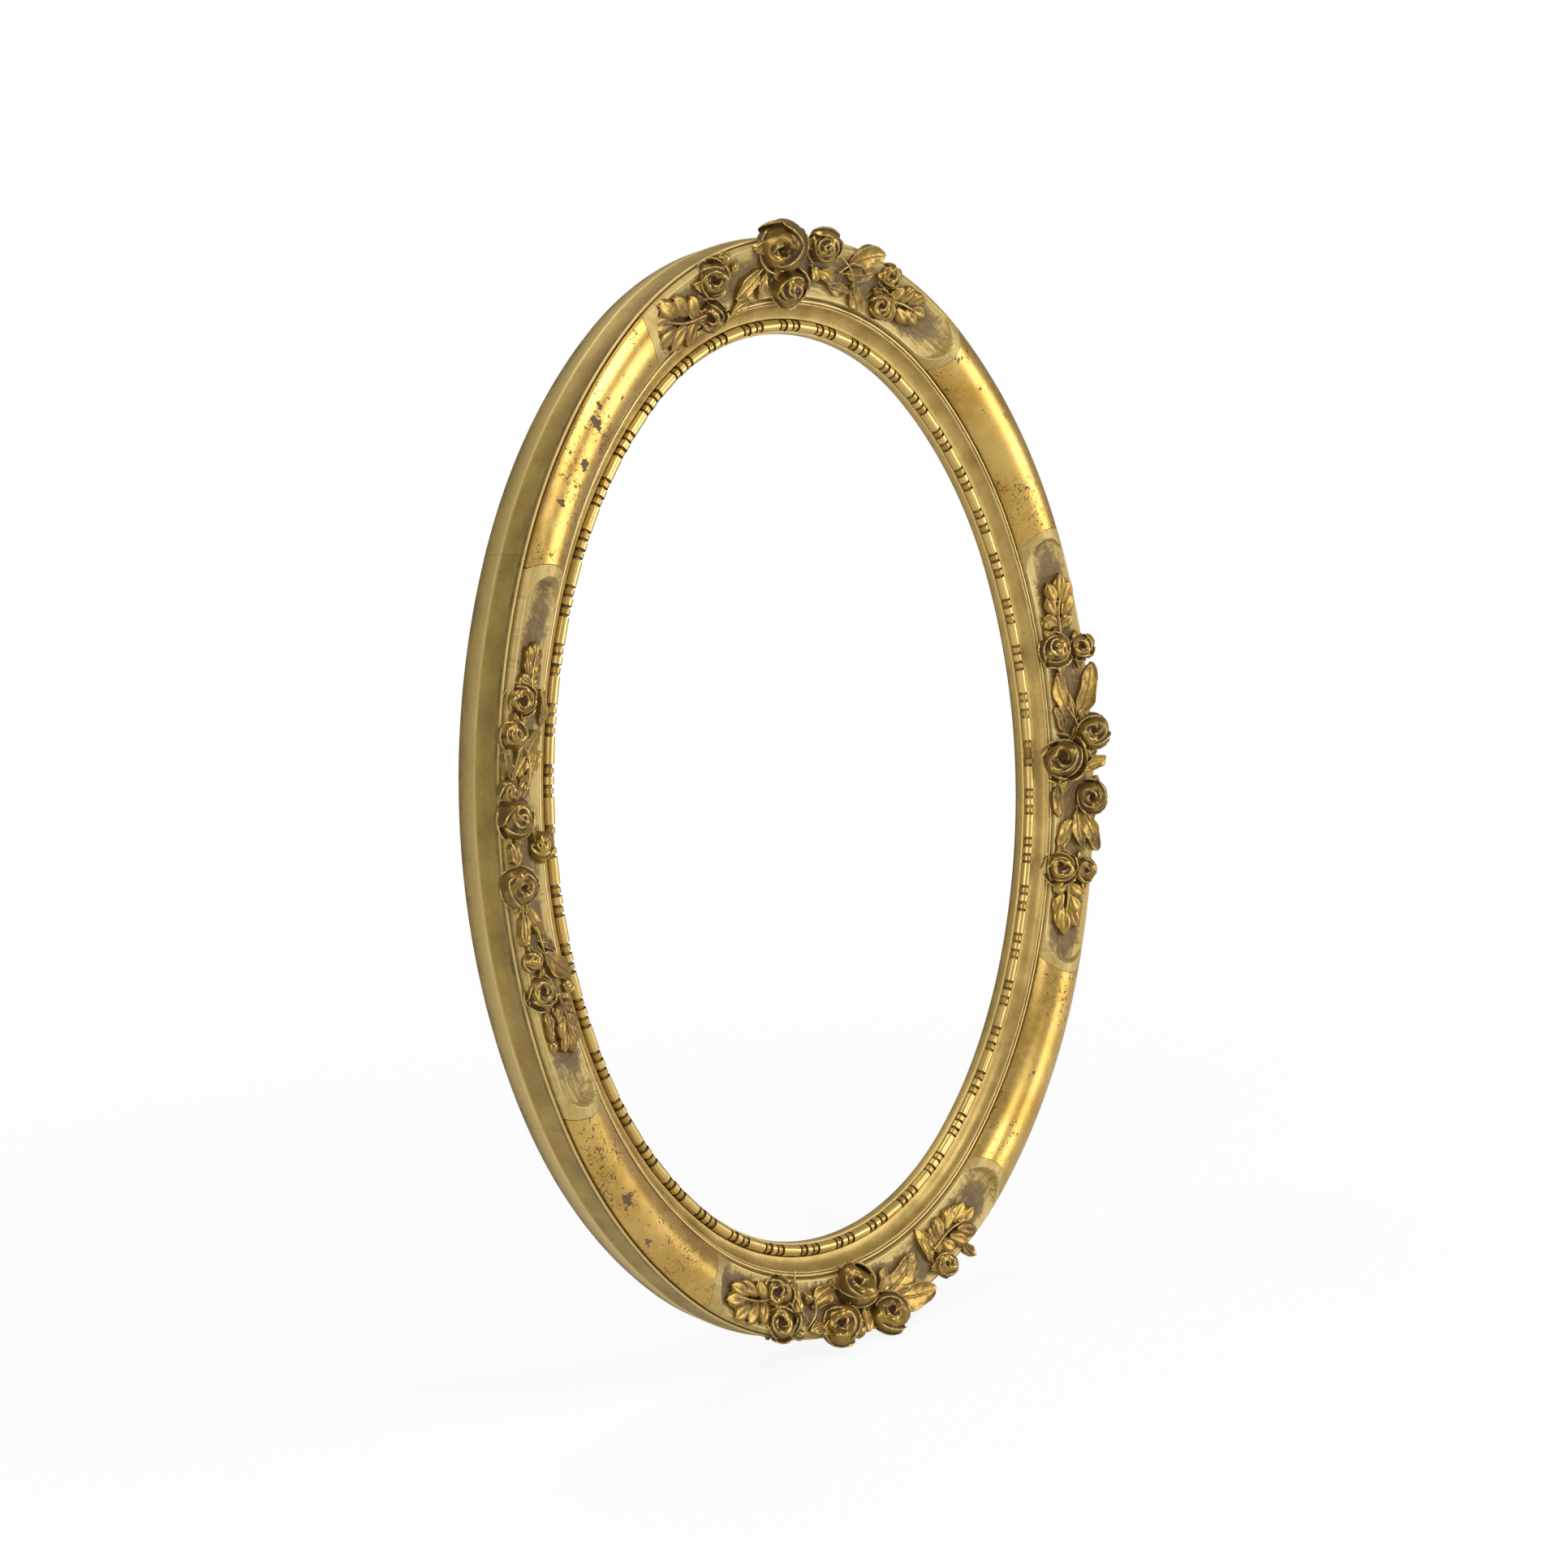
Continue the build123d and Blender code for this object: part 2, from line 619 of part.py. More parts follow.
def arc_holds(arc, point):
    angle = math.degrees(math.atan2(point.X - arc.x, point.Z - arc.z))
    middle = (arc.start + arc.end) / 2
    turn = (angle - middle + 180) % 360 - 180
    return abs(turn) < (arc.end - arc.start) / 2


def arc_length(arc):
    return math.radians(arc.end - arc.start) * arc.radius


def bead_angle(length):
    """Direction at a length along the line of beads, clockwise from the top."""
    whole = sum(arc_length(arc) for arc in ARCS)
    turns, run = divmod(length + arc_length(ARCS[0]) / 2, whole)
    for arc in ARCS:
        if run <= arc_length(arc):
            return turns * 360 + arc.start + math.degrees(run / arc.radius)
        run -= arc_length(arc)
    return turns * 360 + ARCS[-1].end


BEAD_PITCH = sum(arc_length(arc) for arc in ARCS) / 4 / PITCHES_PER_QUARTER
REEL_LENGTH = BEAD_PITCH * REEL_LENGTH_SHARE
BALL_LENGTH = BEAD_PITCH * BALL_LENGTH_SHARE
DISC_LENGTH = BEAD_PITCH * DISC_LENGTH_SHARE
BEAD_GAP = (BEAD_PITCH - REEL_LENGTH - BALL_LENGTH - DISC_LENGTH * 2) / 4


def on_the_bed(outline):
    """A turned bead from its outline along X, sunk to its bed and cut off there."""
    turned = revolve(outline, Axis.X, 360)
    return split(Pos(0, 0, BEAD_AXIS_HEIGHT) * turned, bisect_by=Plane.XY, keep=Keep.TOP)


def cylinder_bead(length, radius):
    half, chamfer = length / 2, radius - BEAD_END_RADIUS
    start, end = (-half, BEAD_END_RADIUS), (half, BEAD_END_RADIUS)
    corners = [start, (chamfer - half, radius), (half - chamfer, radius), end]
    return on_the_bed(make_face(Polyline((-half, 0), *corners, (half, 0), (-half, 0))))


def ball_bead(length, radius):
    half = length / 2
    start, end = (-half, BEAD_END_RADIUS), (half, BEAD_END_RADIUS)
    belly = ThreePointArc(start, (0, radius), end)
    return on_the_bed(closed(belly, Polyline(end, (half, 0), (-half, 0), start)))


def bead_run(start, end):
    """Reels with a disc, a ball and a disc between them. At the side joints the ball is missing."""
    reel = cylinder_bead(REEL_LENGTH, BEAD_RADIUS)
    ball = ball_bead(BALL_LENGTH, BEAD_RADIUS)
    disc = cylinder_bead(DISC_LENGTH, DISC_RADIUS)
    disc_place = BALL_LENGTH / 2 + BEAD_GAP + DISC_LENGTH / 2
    pieces = []
    for number in range(PITCHES_PER_QUARTER * 5):
        centre = number * BEAD_PITCH
        at_joint = number % (PITCHES_PER_QUARTER * 2) == PITCHES_PER_QUARTER
        shapes = [(reel, BEAD_PITCH / 2), (disc, -disc_place), (disc, disc_place)]
        if not at_joint:
            shapes.append((ball, 0))
        for shape, shift in shapes:
            if start < centre + shift < end:
                pieces.append(bead_plane(centre + shift).location * shape)
    return pieces


def bead_plane(length):
    angle = bead_angle(length)
    depth = BEAD_BED_DEPTH + GLUE_GAP
    return Plane(origin=place(angle, 0, depth), x_dir=clockwise(angle), z_dir=(0, -1, 0))


def bead_strip(start, end):
    floor = BEAD_BED_DEPTH + GLUE_GAP
    w = math.sqrt((BEAD_END_RADIUS - STRIP_INSET) ** 2 - BEAD_AXIS_HEIGHT ** 2)
    top = floor + BEAD_AXIS_HEIGHT
    section = make_face(Polyline((-w, floor), (w, floor), (w, top), (-w, top), (-w, floor)))
    core = swept_run(section, bead_angle(start), bead_angle(end))
    return core.fuse(*bead_run(start, end))


def bead_strip_ends():
    """Strips butt at the sides, and beside a reel at the top and bottom."""
    quarter = BEAD_PITCH * PITCHES_PER_QUARTER
    beside_reel = (BEAD_PITCH - REEL_LENGTH - BEAD_GAP) / 2
    joints = [beside_reel, quarter, quarter * 2 + beside_reel, quarter * 3, quarter * 4 + beside_reel]
    return dict(zip(("upper_right", "lower_right", "lower_left", "upper_left"), zip(joints, joints[1:])))


def petal(form, radius):
    """One petal as a part turn of its section round the flower's axis."""
    start, end, *corners = form
    foot, rim, inner = [(r * radius, z * radius) for r, z in corners]
    core = radius * PETAL_CORE_SHARE
    section = make_face(Polyline((core, foot[1]), foot, rim, inner, (core, inner[1]), (core, foot[1])))
    return Rot(0, 0, start * 360) * revolve(Plane.XZ * section, Axis.Z, (end - start) * 360)


def bloom(kind, radius):
    """A round flower with a hollow mouth in a rolled rim, or closed, and petals wrapped round it."""
    hollow = kind in HOLLOW_BLOOM_SHARES
    shares = HOLLOW_BLOOM_SHARES[kind] if hollow else CLOSED_BLOOM_SHARES
    points = [(r * radius, z * radius) for r, z in shares]
    foot = points[0]
    centre = (0, foot[1])
    outline = Line(centre, foot) + ThreePointArc(*points[:3])
    if hollow:
        outline = outline + Line(*points[2:4]) + ThreePointArc(*points[3:6]) + Polyline(*points[5:], centre)
    else:
        outline = outline + ThreePointArc(*points[2:5]) + Polyline(*points[4:], centre)
    face = make_face(outline)
    body = revolve(Plane.XZ * face, Axis.Z, 360)
    return body.fuse(*[petal(form, radius) for form in PETAL_SHARES[kind]])


def pointed_outline(length, width):
    half = width / 2
    upper = ThreePointArc((0, 0), (length / 2, half), (length, 0))
    lower = ThreePointArc((length, 0), (length / 2, -half), (0, 0))
    return closed(upper, lower)


def raised(outline, height):
    """An outline made solid from below the panel's floor up to a height."""
    return extrude(Pos(0, 0, -PAN_HOLLOW - SEAT_DEPTH) * outline, height + PAN_HOLLOW + SEAT_DEPTH)


def rib(start, end, height):
    return raised(Pos((start + end) / 2, 0) * SlotOverall(end - start, RIB_WIDTH), height)


def leaf(length, width):
    """A pointed leaf hollowed along its middle, with a rib that runs on as its stalk."""
    hollow_radius = (width ** 2 / 4 + LEAF_HOLLOW ** 2) / (LEAF_HOLLOW * 2)
    floor = LEAF_HEIGHT - LEAF_HOLLOW
    hollow = rod(Pos(length / 2, 0, floor + hollow_radius) * Rot(0, 90, 0), hollow_radius, length * 2)
    blade = raised(pointed_outline(length, width), LEAF_HEIGHT) - hollow
    return blade + rib(-length * STALK_SHARE, length * RIB_REACH_SHARE, floor + RIB_HEIGHT)


def lobe(length, width):
    """A rounded lobe with sloping sides and a groove along its top."""
    foot = -PAN_HOLLOW - SEAT_DEPTH
    centre = length / 2
    body = loft([
        Pos(centre, 0, foot) * Ellipse(centre, width / 2),
        Pos(centre, 0, LOBE_HEIGHT) * Ellipse(centre * LOBE_TOP_SHARE, width / 2 * LOBE_TOP_SHARE),
    ])
    return body - rod(Pos(centre, 0, LOBE_HEIGHT) * Rot(0, 90, 0), LOBE_GROOVE_RADIUS, length * 2)


def sprig(length):
    """Lobes on both sides of a short stem, which close the spray at its end."""
    body = rib(0, length * SPRIG_STEM_SHARE, LEAF_HEIGHT - LEAF_HOLLOW)
    lobes = []
    for along, across, heading, share in LOBE_SHARES:
        place_on_stem = Pos(length * along, length * across) * Rot(0, 0, heading * 90)
        lobes.append(place_on_stem * lobe(length * share, length * LOBE_WIDTH_SHARE))
    return body.fuse(*lobes)


def spray_plane(side, along_share, across_share):
    arc = ARC_NAMED[side]
    angle = SIDES[side] + math.degrees(SPRAY_REACH * along_share / (arc.radius + PAN_MIDDLE[0]))
    return pan_plane(side, angle, PAN_HALF_WIDTH * across_share)


def boxed(shape):
    return shape, shape.bounding_box()


def apart(a, b):
    return (
        a.min.X > b.max.X or b.min.X > a.max.X
        or a.min.Y > b.max.Y or b.min.Y > a.max.Y
        or a.min.Z > b.max.Z or b.min.Z > a.max.Z
    )


def clear_of(shape, others):
    """What is left of a piece outside the pieces that it is seated on or tucked under."""
    box = shape.bounding_box()
    for other, other_box in others:
        if not apart(box, other_box):
            shape = shape - other
            shape = max(shape.solids(), key=lambda solid: solid.volume)
    return shape


def seated(shape):
    """A flower cut off flat just below the panel's floor."""
    return split(shape, bisect_by=Plane.XY.offset(-PAN_HOLLOW - SEAT_DEPTH), keep=Keep.TOP)


def spray(side, seats):
    placed = []
    groups = {"roses": [], "sprigs": [], "leaves": []}
    half = PAN_HALF_WIDTH

    def add(group, spot, shape):
        solid = clear_of(spot * shape, seats + placed)
        placed.append(boxed(solid))
        groups[group].append(solid.moved(Pos(Plane(spot).z_dir * SEAT_GAP)))

    for kind, along, across, size, lean_along, lean_out in ROSE_SHARES[side]:
        spot = spray_plane(side, along, across).location
        lean = Rot(-LEAN_ANGLE * lean_out, LEAN_ANGLE * lean_along, 0)
        add("roses", spot, seated(lean * bloom(kind, half * size)))
    for along, across, length, heading in SPRIG_SHARES[side]:
        spot = spray_plane(side, along, across).location * Rot(0, 0, heading * 90)
        add("sprigs", spot, sprig(half * length))
    for along, across, length, width, heading in LEAF_SHARES[side]:
        spot = spray_plane(side, along, across).location * Rot(0, 0, heading * 90)
        add("leaves", spot, leaf(half * length, half * width))
    return groups


def strap():
    """A plate screwed on at both ends, with a tongue rolled into the knuckle that holds the ring."""
    low, high = STRAP_PLATE_OFFSET, KNUCKLE_OFFSET
    plate = SlotOverall(STRAP_PLATE_LENGTH, STRAP_PLATE_HEIGHT, rotation=90)
    tongue = Pos((high - low) / 2, 0) * Rectangle(high - low, STRAP_WIDTH)
    body = back_plane(0, low).location * extrude(plate + tongue, STRAP_THICKNESS)
    axis = ring_axis()
    bore = RING_WIRE_RADIUS + RUNNING_CLEARANCE
    body = body + axis * Cylinder(KNUCKLE_RADIUS, STRAP_WIDTH)
    body = body - axis * Cylinder(bore, STRAP_WIDTH + OVERRUN)
    for plane, _ in screw_seats()[0]:
        body = body - screw_hole(plane)
    return body


def ring_axis():
    """Axis of the ring's bar, along X behind the top of the frame."""
    top = OVAL_HALF_HEIGHT + KNUCKLE_OFFSET
    return Location((0, KNUCKLE_RADIUS, top)) * Rot(0, 90, 0)


def hanging_ring():
    """D-shaped ring of round wire. It hangs from its bar, which turns in the strap's knuckle."""
    half, corner = RING_HALF_WIDTH, RING_CORNER_RADIUS
    bar = half - corner
    bow = half - RING_LENGTH
    slant = corner * math.sqrt(0.5)
    path = (
        Line((-bar, 0), (bar, 0))
        + ThreePointArc((bar, 0), (bar + slant, slant - corner), (half, -corner))
        + Line((half, -corner), (half, bow))
        + ThreePointArc((half, bow), (0, -RING_LENGTH), (-half, bow))
        + Line((-half, bow), (-half, -corner))
        + ThreePointArc((-half, -corner), (-bar - slant, slant - corner), (-bar, 0))
    )
    wire = sweep(Plane(origin=(-bar, 0, 0), z_dir=(1, 0, 0)) * Circle(RING_WIRE_RADIUS), path=path)
    return Pos(0, KNUCKLE_RADIUS, OVAL_HALF_HEIGHT + KNUCKLE_OFFSET) * Rot(90, 0, 0) * wire


def turn_button(angle):
    plane = Plane(origin=place(angle, BUTTON_OFFSET, 0), x_dir=clockwise(angle), z_dir=(0, 1, 0))
    span = BUTTON_REACH + BUTTON_TAIL
    centre = (BUTTON_REACH - BUTTON_TAIL) / 2
    blank = Pos(centre, 0) * SlotOverall(span, BUTTON_WIDTH)
    hole = Circle(SCREW_SHANK_RADIUS + RUNNING_CLEARANCE)
    strip = extrude(blank - hole, BUTTON_THICKNESS)
    return plane.location * Pos(0, 0, REST_CLEARANCE) * strip


def group(solids):
    flat = []
    for shape in solids:
        flat.extend(shape.solids())
    return Compound(children=flat) if len(flat) > 1 else flat[0]


def save(name, shape):
    export_step(shape, os.path.join("parts", name + ".step"))


def main():
    os.makedirs("parts", exist_ok=True)
    carcasses = {arc.name: carcass(arc) for arc in ARCS}
    for name, body in carcasses.items():
        save("carcass_" + name, body)
    quarters = {
        "upper_right": (0, 90),
        "lower_right": (90, 180),
        "lower_left": (180, 270),
        "upper_left": (270, 360),
    }
    sights = {name: swept_run(sight_section(), *ends) for name, ends in quarters.items()}
    for name, body in sights.items():
        save("sight_moulding_" + name, body)
    for name, ends in bead_strip_ends().items():
        save("bead_strip_" + name, bead_strip(*ends))
    neighbours = {
        "upper_right": ("top", "right"),
        "lower_right": ("right", "bottom"),
        "lower_left": ("bottom", "left"),
        "upper_left": ("left", "top"),
    }
    lengths = {name: burnished_length(ARC_NAMED[name], *pair) for name, pair in neighbours.items()}
    for name, body in lengths.items():
        save("burnished_length_" + name, body)
    for side in SIDES:
        panel = cartouche(side)
        save("cartouche_" + side, panel)
        near = [boxed(shape) for shape in [panel, carcasses[side]] + list(sights.values())]
        for kind, solids in spray(side, near).items():
            save(side + "_" + kind, group(solids))
    dowels = [rod(location, DOWEL_RADIUS, DOWEL_LENGTH) for arc in ARCS for location in joint_dowels(arc)]
    save("carcass_dowels", group(dowels))
    for name, angle in button_angles().items():
        save("turn_button_" + name, turn_button(angle))
    strap_screws, button_screws = screw_seats()
    save("hanger_screws", group([plane.location * wood_screw(seat) for plane, seat in strap_screws]))
    save("turn_button_screws", group([plane.location * wood_screw(seat) for plane, seat in button_screws]))
    save("hanger_strap", strap())
    save("hanging_ring", hanging_ring())


main()
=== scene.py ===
import math
import random
import bmesh
import bpy
import numpy as np
from mathutils import Matrix, Vector


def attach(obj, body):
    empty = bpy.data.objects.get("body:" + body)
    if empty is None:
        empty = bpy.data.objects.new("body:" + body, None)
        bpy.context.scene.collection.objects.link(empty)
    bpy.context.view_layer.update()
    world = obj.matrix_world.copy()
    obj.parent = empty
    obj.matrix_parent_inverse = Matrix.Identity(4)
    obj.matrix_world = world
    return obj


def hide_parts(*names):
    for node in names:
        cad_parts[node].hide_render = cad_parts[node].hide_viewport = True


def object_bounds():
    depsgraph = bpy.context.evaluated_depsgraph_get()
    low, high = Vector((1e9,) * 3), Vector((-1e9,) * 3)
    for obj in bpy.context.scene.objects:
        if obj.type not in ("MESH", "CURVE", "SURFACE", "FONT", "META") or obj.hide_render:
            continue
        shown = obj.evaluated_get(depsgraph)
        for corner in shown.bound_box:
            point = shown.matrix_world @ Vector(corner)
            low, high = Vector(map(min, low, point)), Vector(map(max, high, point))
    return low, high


# Oval gilt picture frame with applied flowers. X runs right, Z up, Y into the wall; the front faces -Y.
# Lengths are in millimetres until a mesh is made. A place in the moulding is an offset outward from the
# line of beads and a depth in front of the back face. A place on a panel is along, across and height:
# along its middle (clockwise), across its chord (outward) and out of the chord.
MM = 0.001
IMAGE_SIZE = 1932

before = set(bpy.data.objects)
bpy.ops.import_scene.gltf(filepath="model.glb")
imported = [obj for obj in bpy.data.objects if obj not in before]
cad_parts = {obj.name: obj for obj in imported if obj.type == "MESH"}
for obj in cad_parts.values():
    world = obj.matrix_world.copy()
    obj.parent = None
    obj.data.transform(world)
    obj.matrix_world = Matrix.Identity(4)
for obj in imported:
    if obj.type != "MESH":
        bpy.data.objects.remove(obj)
cad_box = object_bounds()


def add_object(name, data):
    made = bpy.data.objects.new(name, data)
    bpy.context.collection.objects.link(made)
    return made


# Camera

CAMERA_AZIMUTH, CAMERA_ELEVATION, CAMERA_ROLL = -48.043, 6.173, -3.509
CAMERA_DISTANCE = 1.3551
CAMERA_PAN, CAMERA_TILT = -0.261, 0.174
CAMERA_FOCAL_PIXELS = 3033
SENSOR = 36


def add_camera():
    azimuth, elevation, roll = (math.radians(a) for a in (CAMERA_AZIMUTH, CAMERA_ELEVATION, CAMERA_ROLL))
    back = Vector((math.sin(azimuth) * math.cos(elevation), -math.cos(azimuth) * math.cos(elevation),
                   math.sin(elevation)))
    level = (-back).cross(Vector((0, 0, 1))).normalized()
    upright = level.cross(-back)
    right = math.cos(roll) * level + math.sin(roll) * upright
    up = math.cos(roll) * upright - math.sin(roll) * level
    pan, tilt = (math.tan(math.radians(a)) for a in (CAMERA_PAN, CAMERA_TILT))
    forward = (-back + pan * right + tilt * up).normalized()
    right = (right - right.dot(forward) * forward).normalized()
    data = bpy.data.cameras.new("camera")
    data.sensor_width = SENSOR
    data.lens = SENSOR * CAMERA_FOCAL_PIXELS / IMAGE_SIZE
    camera = add_object("camera", data)
    axes = Matrix((right, right.cross(forward), -forward)).transposed().to_4x4()
    camera.matrix_world = Matrix.Translation(back * CAMERA_DISTANCE) @ axes
    bpy.context.scene.camera = camera


add_camera()


# The oval: eight tangent arcs, folded into one quarter

OVAL_HALF_WIDTH, OVAL_HALF_HEIGHT = 196.5, 252.0
END_RADIUS, END_ANGLE, SHOULDER_ANGLE = 161.0, 40.0, 67.0
ARCS = {"top": (-40, 40), "upper_right": (40, 67), "right": (67, 113), "lower_right": (113, 140),
        "bottom": (140, 220), "lower_left": (220, 247), "left": (247, 293), "upper_left": (293, 320)}
SIDES = {"top": 0.0, "right": 90.0, "bottom": 180.0, "left": 270.0}
QUARTERS = {"upper_right": 0, "lower_right": 90, "lower_left": 180, "upper_left": 270}


def oval_arcs():
    """Centre and radius of each arc in the upper right quarter."""
    s1, c1, s2, c2 = (f(math.radians(a)) for a in (END_ANGLE, SHOULDER_ANGLE) for f in (math.sin, math.cos))
    across = OVAL_HALF_WIDTH - END_RADIUS * s1
    upward = OVAL_HALF_HEIGHT - END_RADIUS * (1 - c1)
    spread = (s2 - s1) * c2 - (1 - s2) * (c1 - c2)
    shoulder = (across * c2 - (1 - s2) * upward) / spread
    side = ((s2 - s1) * upward - (c1 - c2) * across) / spread
    end_z = OVAL_HALF_HEIGHT - END_RADIUS
    return [(0, end_z, END_RADIUS),
            ((END_RADIUS - shoulder) * s1, end_z + (END_RADIUS - shoulder) * c1, shoulder),
            (OVAL_HALF_WIDTH - side, 0, side)]


OVAL_ARCS = np.array(oval_arcs())


def frame_points(angle, offset, depth):
    """Metres in the row frame for angles clockwise from the top, offsets and depths."""
    angle, offset, depth = np.broadcast_arrays(np.asarray(angle, float), offset, depth)
    turned = (angle + 180) % 360 - 180
    folded = np.abs(turned)
    lower = folded > 90
    folded = np.where(lower, 180 - folded, folded)
    arc = np.where(folded <= END_ANGLE, 0, np.where(folded <= SHOULDER_ANGLE, 1, 2))
    reach = OVAL_ARCS[arc, 2] + offset
    x = (OVAL_ARCS[arc, 0] + reach * np.sin(np.radians(folded))) * np.sign(turned)
    z = (OVAL_ARCS[arc, 1] + reach * np.cos(np.radians(folded))) * np.where(lower, -1, 1)
    return np.stack([x, -depth, z], -1) * MM


def running_length(points):
    return np.concatenate([[0], np.cumsum(np.linalg.norm(np.diff(points, axis=0), axis=1))])


def bead_line_lengths():
    """Directions at fine steps round the oval, with the length of the bead line up to each."""
    angles = np.linspace(0, 360, 7201)
    return angles, running_length(frame_points(angles, 0, 0) / MM)


LINE_ANGLES, LINE_LENGTHS = bead_line_lengths()
OVAL_LENGTH = LINE_LENGTHS[-1]


def angle_at(length):
    """Direction of the place so far along the bead line, clockwise from the top."""
    turns = np.floor(np.asarray(length) / OVAL_LENGTH)
    return np.interp(length - turns * OVAL_LENGTH, LINE_LENGTHS, LINE_ANGLES) + turns * 360


# Mouldings' sections, in offset and depth

REBATE_OFFSET, REBATE_DEPTH = 5.5, 8.0
BACK_EDGE_OFFSET = 45.0
ARRIS_OFFSET, ARRIS_DEPTH = 46.6, 13.0
SCOOP_OFFSET = 44.9
LIP_OFFSET, LIP_DEPTH, LIP_WIDTH = 45.8, 29.4, 1.5
BED_RISE_ANGLE = 14.5
BED_INNER_OFFSET, BED_INNER_DEPTH = 14.0, 18.6
GLUE_GAP = 0.1
SIGHT_OFFSET = -4.0
BEAD_BED_DEPTH, BEAD_BED_HALF_WIDTH = 13.0, 3.5
COVE_INNER_DEPTH, COVE_OUTER_OFFSET, COVE_OUTER_DEPTH, COVE_HOLLOW = 14.8, 10.6, 21.2, 1.4
LINE_WIDTH, LINE_SIDE, LINE_HEIGHT = 0.9, 0.2, 0.9
ROUND_RADIUS, ROUND_CENTRE_OFFSET, ROUND_CENTRE_DEPTH = 20.0, 32.6, 14.7
SEAM_WIDTH = 0.5
LIP_INNER_OFFSET = LIP_OFFSET - LIP_WIDTH
ROUND_OUTER_OFFSET = LIP_INNER_OFFSET - SEAM_WIDTH
ROUND_INNER_OFFSET = BED_INNER_OFFSET + GLUE_GAP
# Cosine between a corner's two sides, below which it is so nearly straight that it isn't worn round
NEARLY_STRAIGHT = -0.985


def bed_depth(offset):
    return BED_INNER_DEPTH + (offset - BED_INNER_OFFSET) * math.tan(math.radians(BED_RISE_ANGLE))


def round_depth(offset):
    return ROUND_CENTRE_DEPTH + np.sqrt(ROUND_RADIUS ** 2 - (offset - ROUND_CENTRE_OFFSET) ** 2)


def arc_through(a, b, c, count):
    """Points on the circle through three points, from a past b to c, without a."""
    a, b, c = (np.array(p, float) for p in (a, b, c))
    m = np.array([b - a, c - a]) * 2
    centre = np.linalg.solve(m, [(b @ b - a @ a), (c @ c - a @ a)])
    start, mid, end = (math.atan2(*(p - centre)[::-1]) for p in (a, b, c))
    turn = (end - start) % (2 * math.pi)
    if (mid - start) % (2 * math.pi) > turn:
        turn -= 2 * math.pi
    radius = np.linalg.norm(a - centre)
    angles = start + turn * np.linspace(0, 1, count + 1)[1:]
    return [tuple(centre + radius * np.array([math.cos(t), math.sin(t)])) for t in angles]


def eased(corners, radius, steps=3):
    """A closed outline with each sharp corner worn round. A corner may name its own radius."""
    outline = []
    for i, corner in enumerate(corners):
        here = np.array(corner[:2])
        sides = [np.array(corners[j % len(corners)][:2]) - here for j in (i - 1, i + 1)]
        lengths = [np.linalg.norm(side) for side in sides]
        one, two = (side / length for side, length in zip(sides, lengths))
        wanted = corner[2] if len(corner) > 2 else radius
        cut = min(wanted, lengths[0] * 0.45, lengths[1] * 0.45)
        if wanted == 0 or one @ two < NEARLY_STRAIGHT:
            outline.append(tuple(here))
            continue
        for t in np.linspace(0, 1, steps + 1):
            outline.append(tuple(here + one * cut * (1 - t) ** 2 + two * cut * t ** 2))
    return outline


def carcass_outline():
    ledge = REBATE_DEPTH - GLUE_GAP
    scoop = arc_through((ARRIS_OFFSET, ARRIS_DEPTH), (SCOOP_OFFSET, (ARRIS_DEPTH + LIP_DEPTH) / 2),
                        (LIP_OFFSET, LIP_DEPTH), 10)
    return [(LIP_INNER_OFFSET, bed_depth(LIP_INNER_OFFSET), 0), (BED_INNER_OFFSET, BED_INNER_DEPTH, 0),
            (BED_INNER_OFFSET, ledge, 0), (REBATE_OFFSET, ledge, 0), (REBATE_OFFSET, 0, 0.4),
            (BACK_EDGE_OFFSET, 0, 0.8), (ARRIS_OFFSET, ARRIS_DEPTH, 0.35)] + scoop[:-1] + [
            (LIP_OFFSET, LIP_DEPTH, 0.5), (LIP_INNER_OFFSET, LIP_DEPTH + 0.1, 0.4)]


def sight_outline():
    outer = BED_INNER_OFFSET - GLUE_GAP
    line_outer = outer - LINE_WIDTH
    line_inner = line_outer - LINE_WIDTH - LINE_SIDE * 2
    top = COVE_OUTER_DEPTH + LINE_HEIGHT
    start = np.array([COVE_OUTER_OFFSET, COVE_OUTER_DEPTH])
    end = np.array([BEAD_BED_HALF_WIDTH, COVE_INNER_DEPTH])
    run, rise = start - end
    hollow = (start + end) / 2 + np.array([rise, -run]) * COVE_HOLLOW / math.hypot(run, rise)
    return [(SIGHT_OFFSET, REBATE_DEPTH, 0.3), (outer, REBATE_DEPTH, 0), (outer, COVE_OUTER_DEPTH, 0.3),
            (line_outer, COVE_OUTER_DEPTH, 0.15), (line_outer - LINE_SIDE, top, 0.35),
            (line_inner + LINE_SIDE, top, 0.35), (line_inner, COVE_OUTER_DEPTH, 0.15), (*start, 0.5),
            *((*p, 0) for p in arc_through(start, hollow, end, 10)[:-1]),
            (*end, 0.4), (BEAD_BED_HALF_WIDTH, BEAD_BED_DEPTH, 0.3), (SIGHT_OFFSET, BEAD_BED_DEPTH, 0.9)]


# Panels: the chord of the round moulding between its long edges

PAN_INNER_OFFSET, PAN_OUTER_OFFSET = 14.8, 41.4
PAN_HOLLOW, PAN_FLANK_RUN, PAN_FLANK_RISE = 0.9, 3.4, 7.0
END_BAND_RADIUS, END_SEAM_WIDTH = 22.0, 0.3
PAN_INNER = np.array([PAN_INNER_OFFSET, round_depth(PAN_INNER_OFFSET)])
PAN_OUTER = np.array([PAN_OUTER_OFFSET, round_depth(PAN_OUTER_OFFSET)])
PAN_HALF = np.linalg.norm(PAN_OUTER - PAN_INNER) / 2
PAN_MIDDLE = (PAN_INNER + PAN_OUTER) / 2
PAN_TILT = math.atan2(*(PAN_OUTER - PAN_INNER)[::-1])
ROUND_DROP = math.sqrt(ROUND_RADIUS ** 2 - PAN_HALF ** 2)
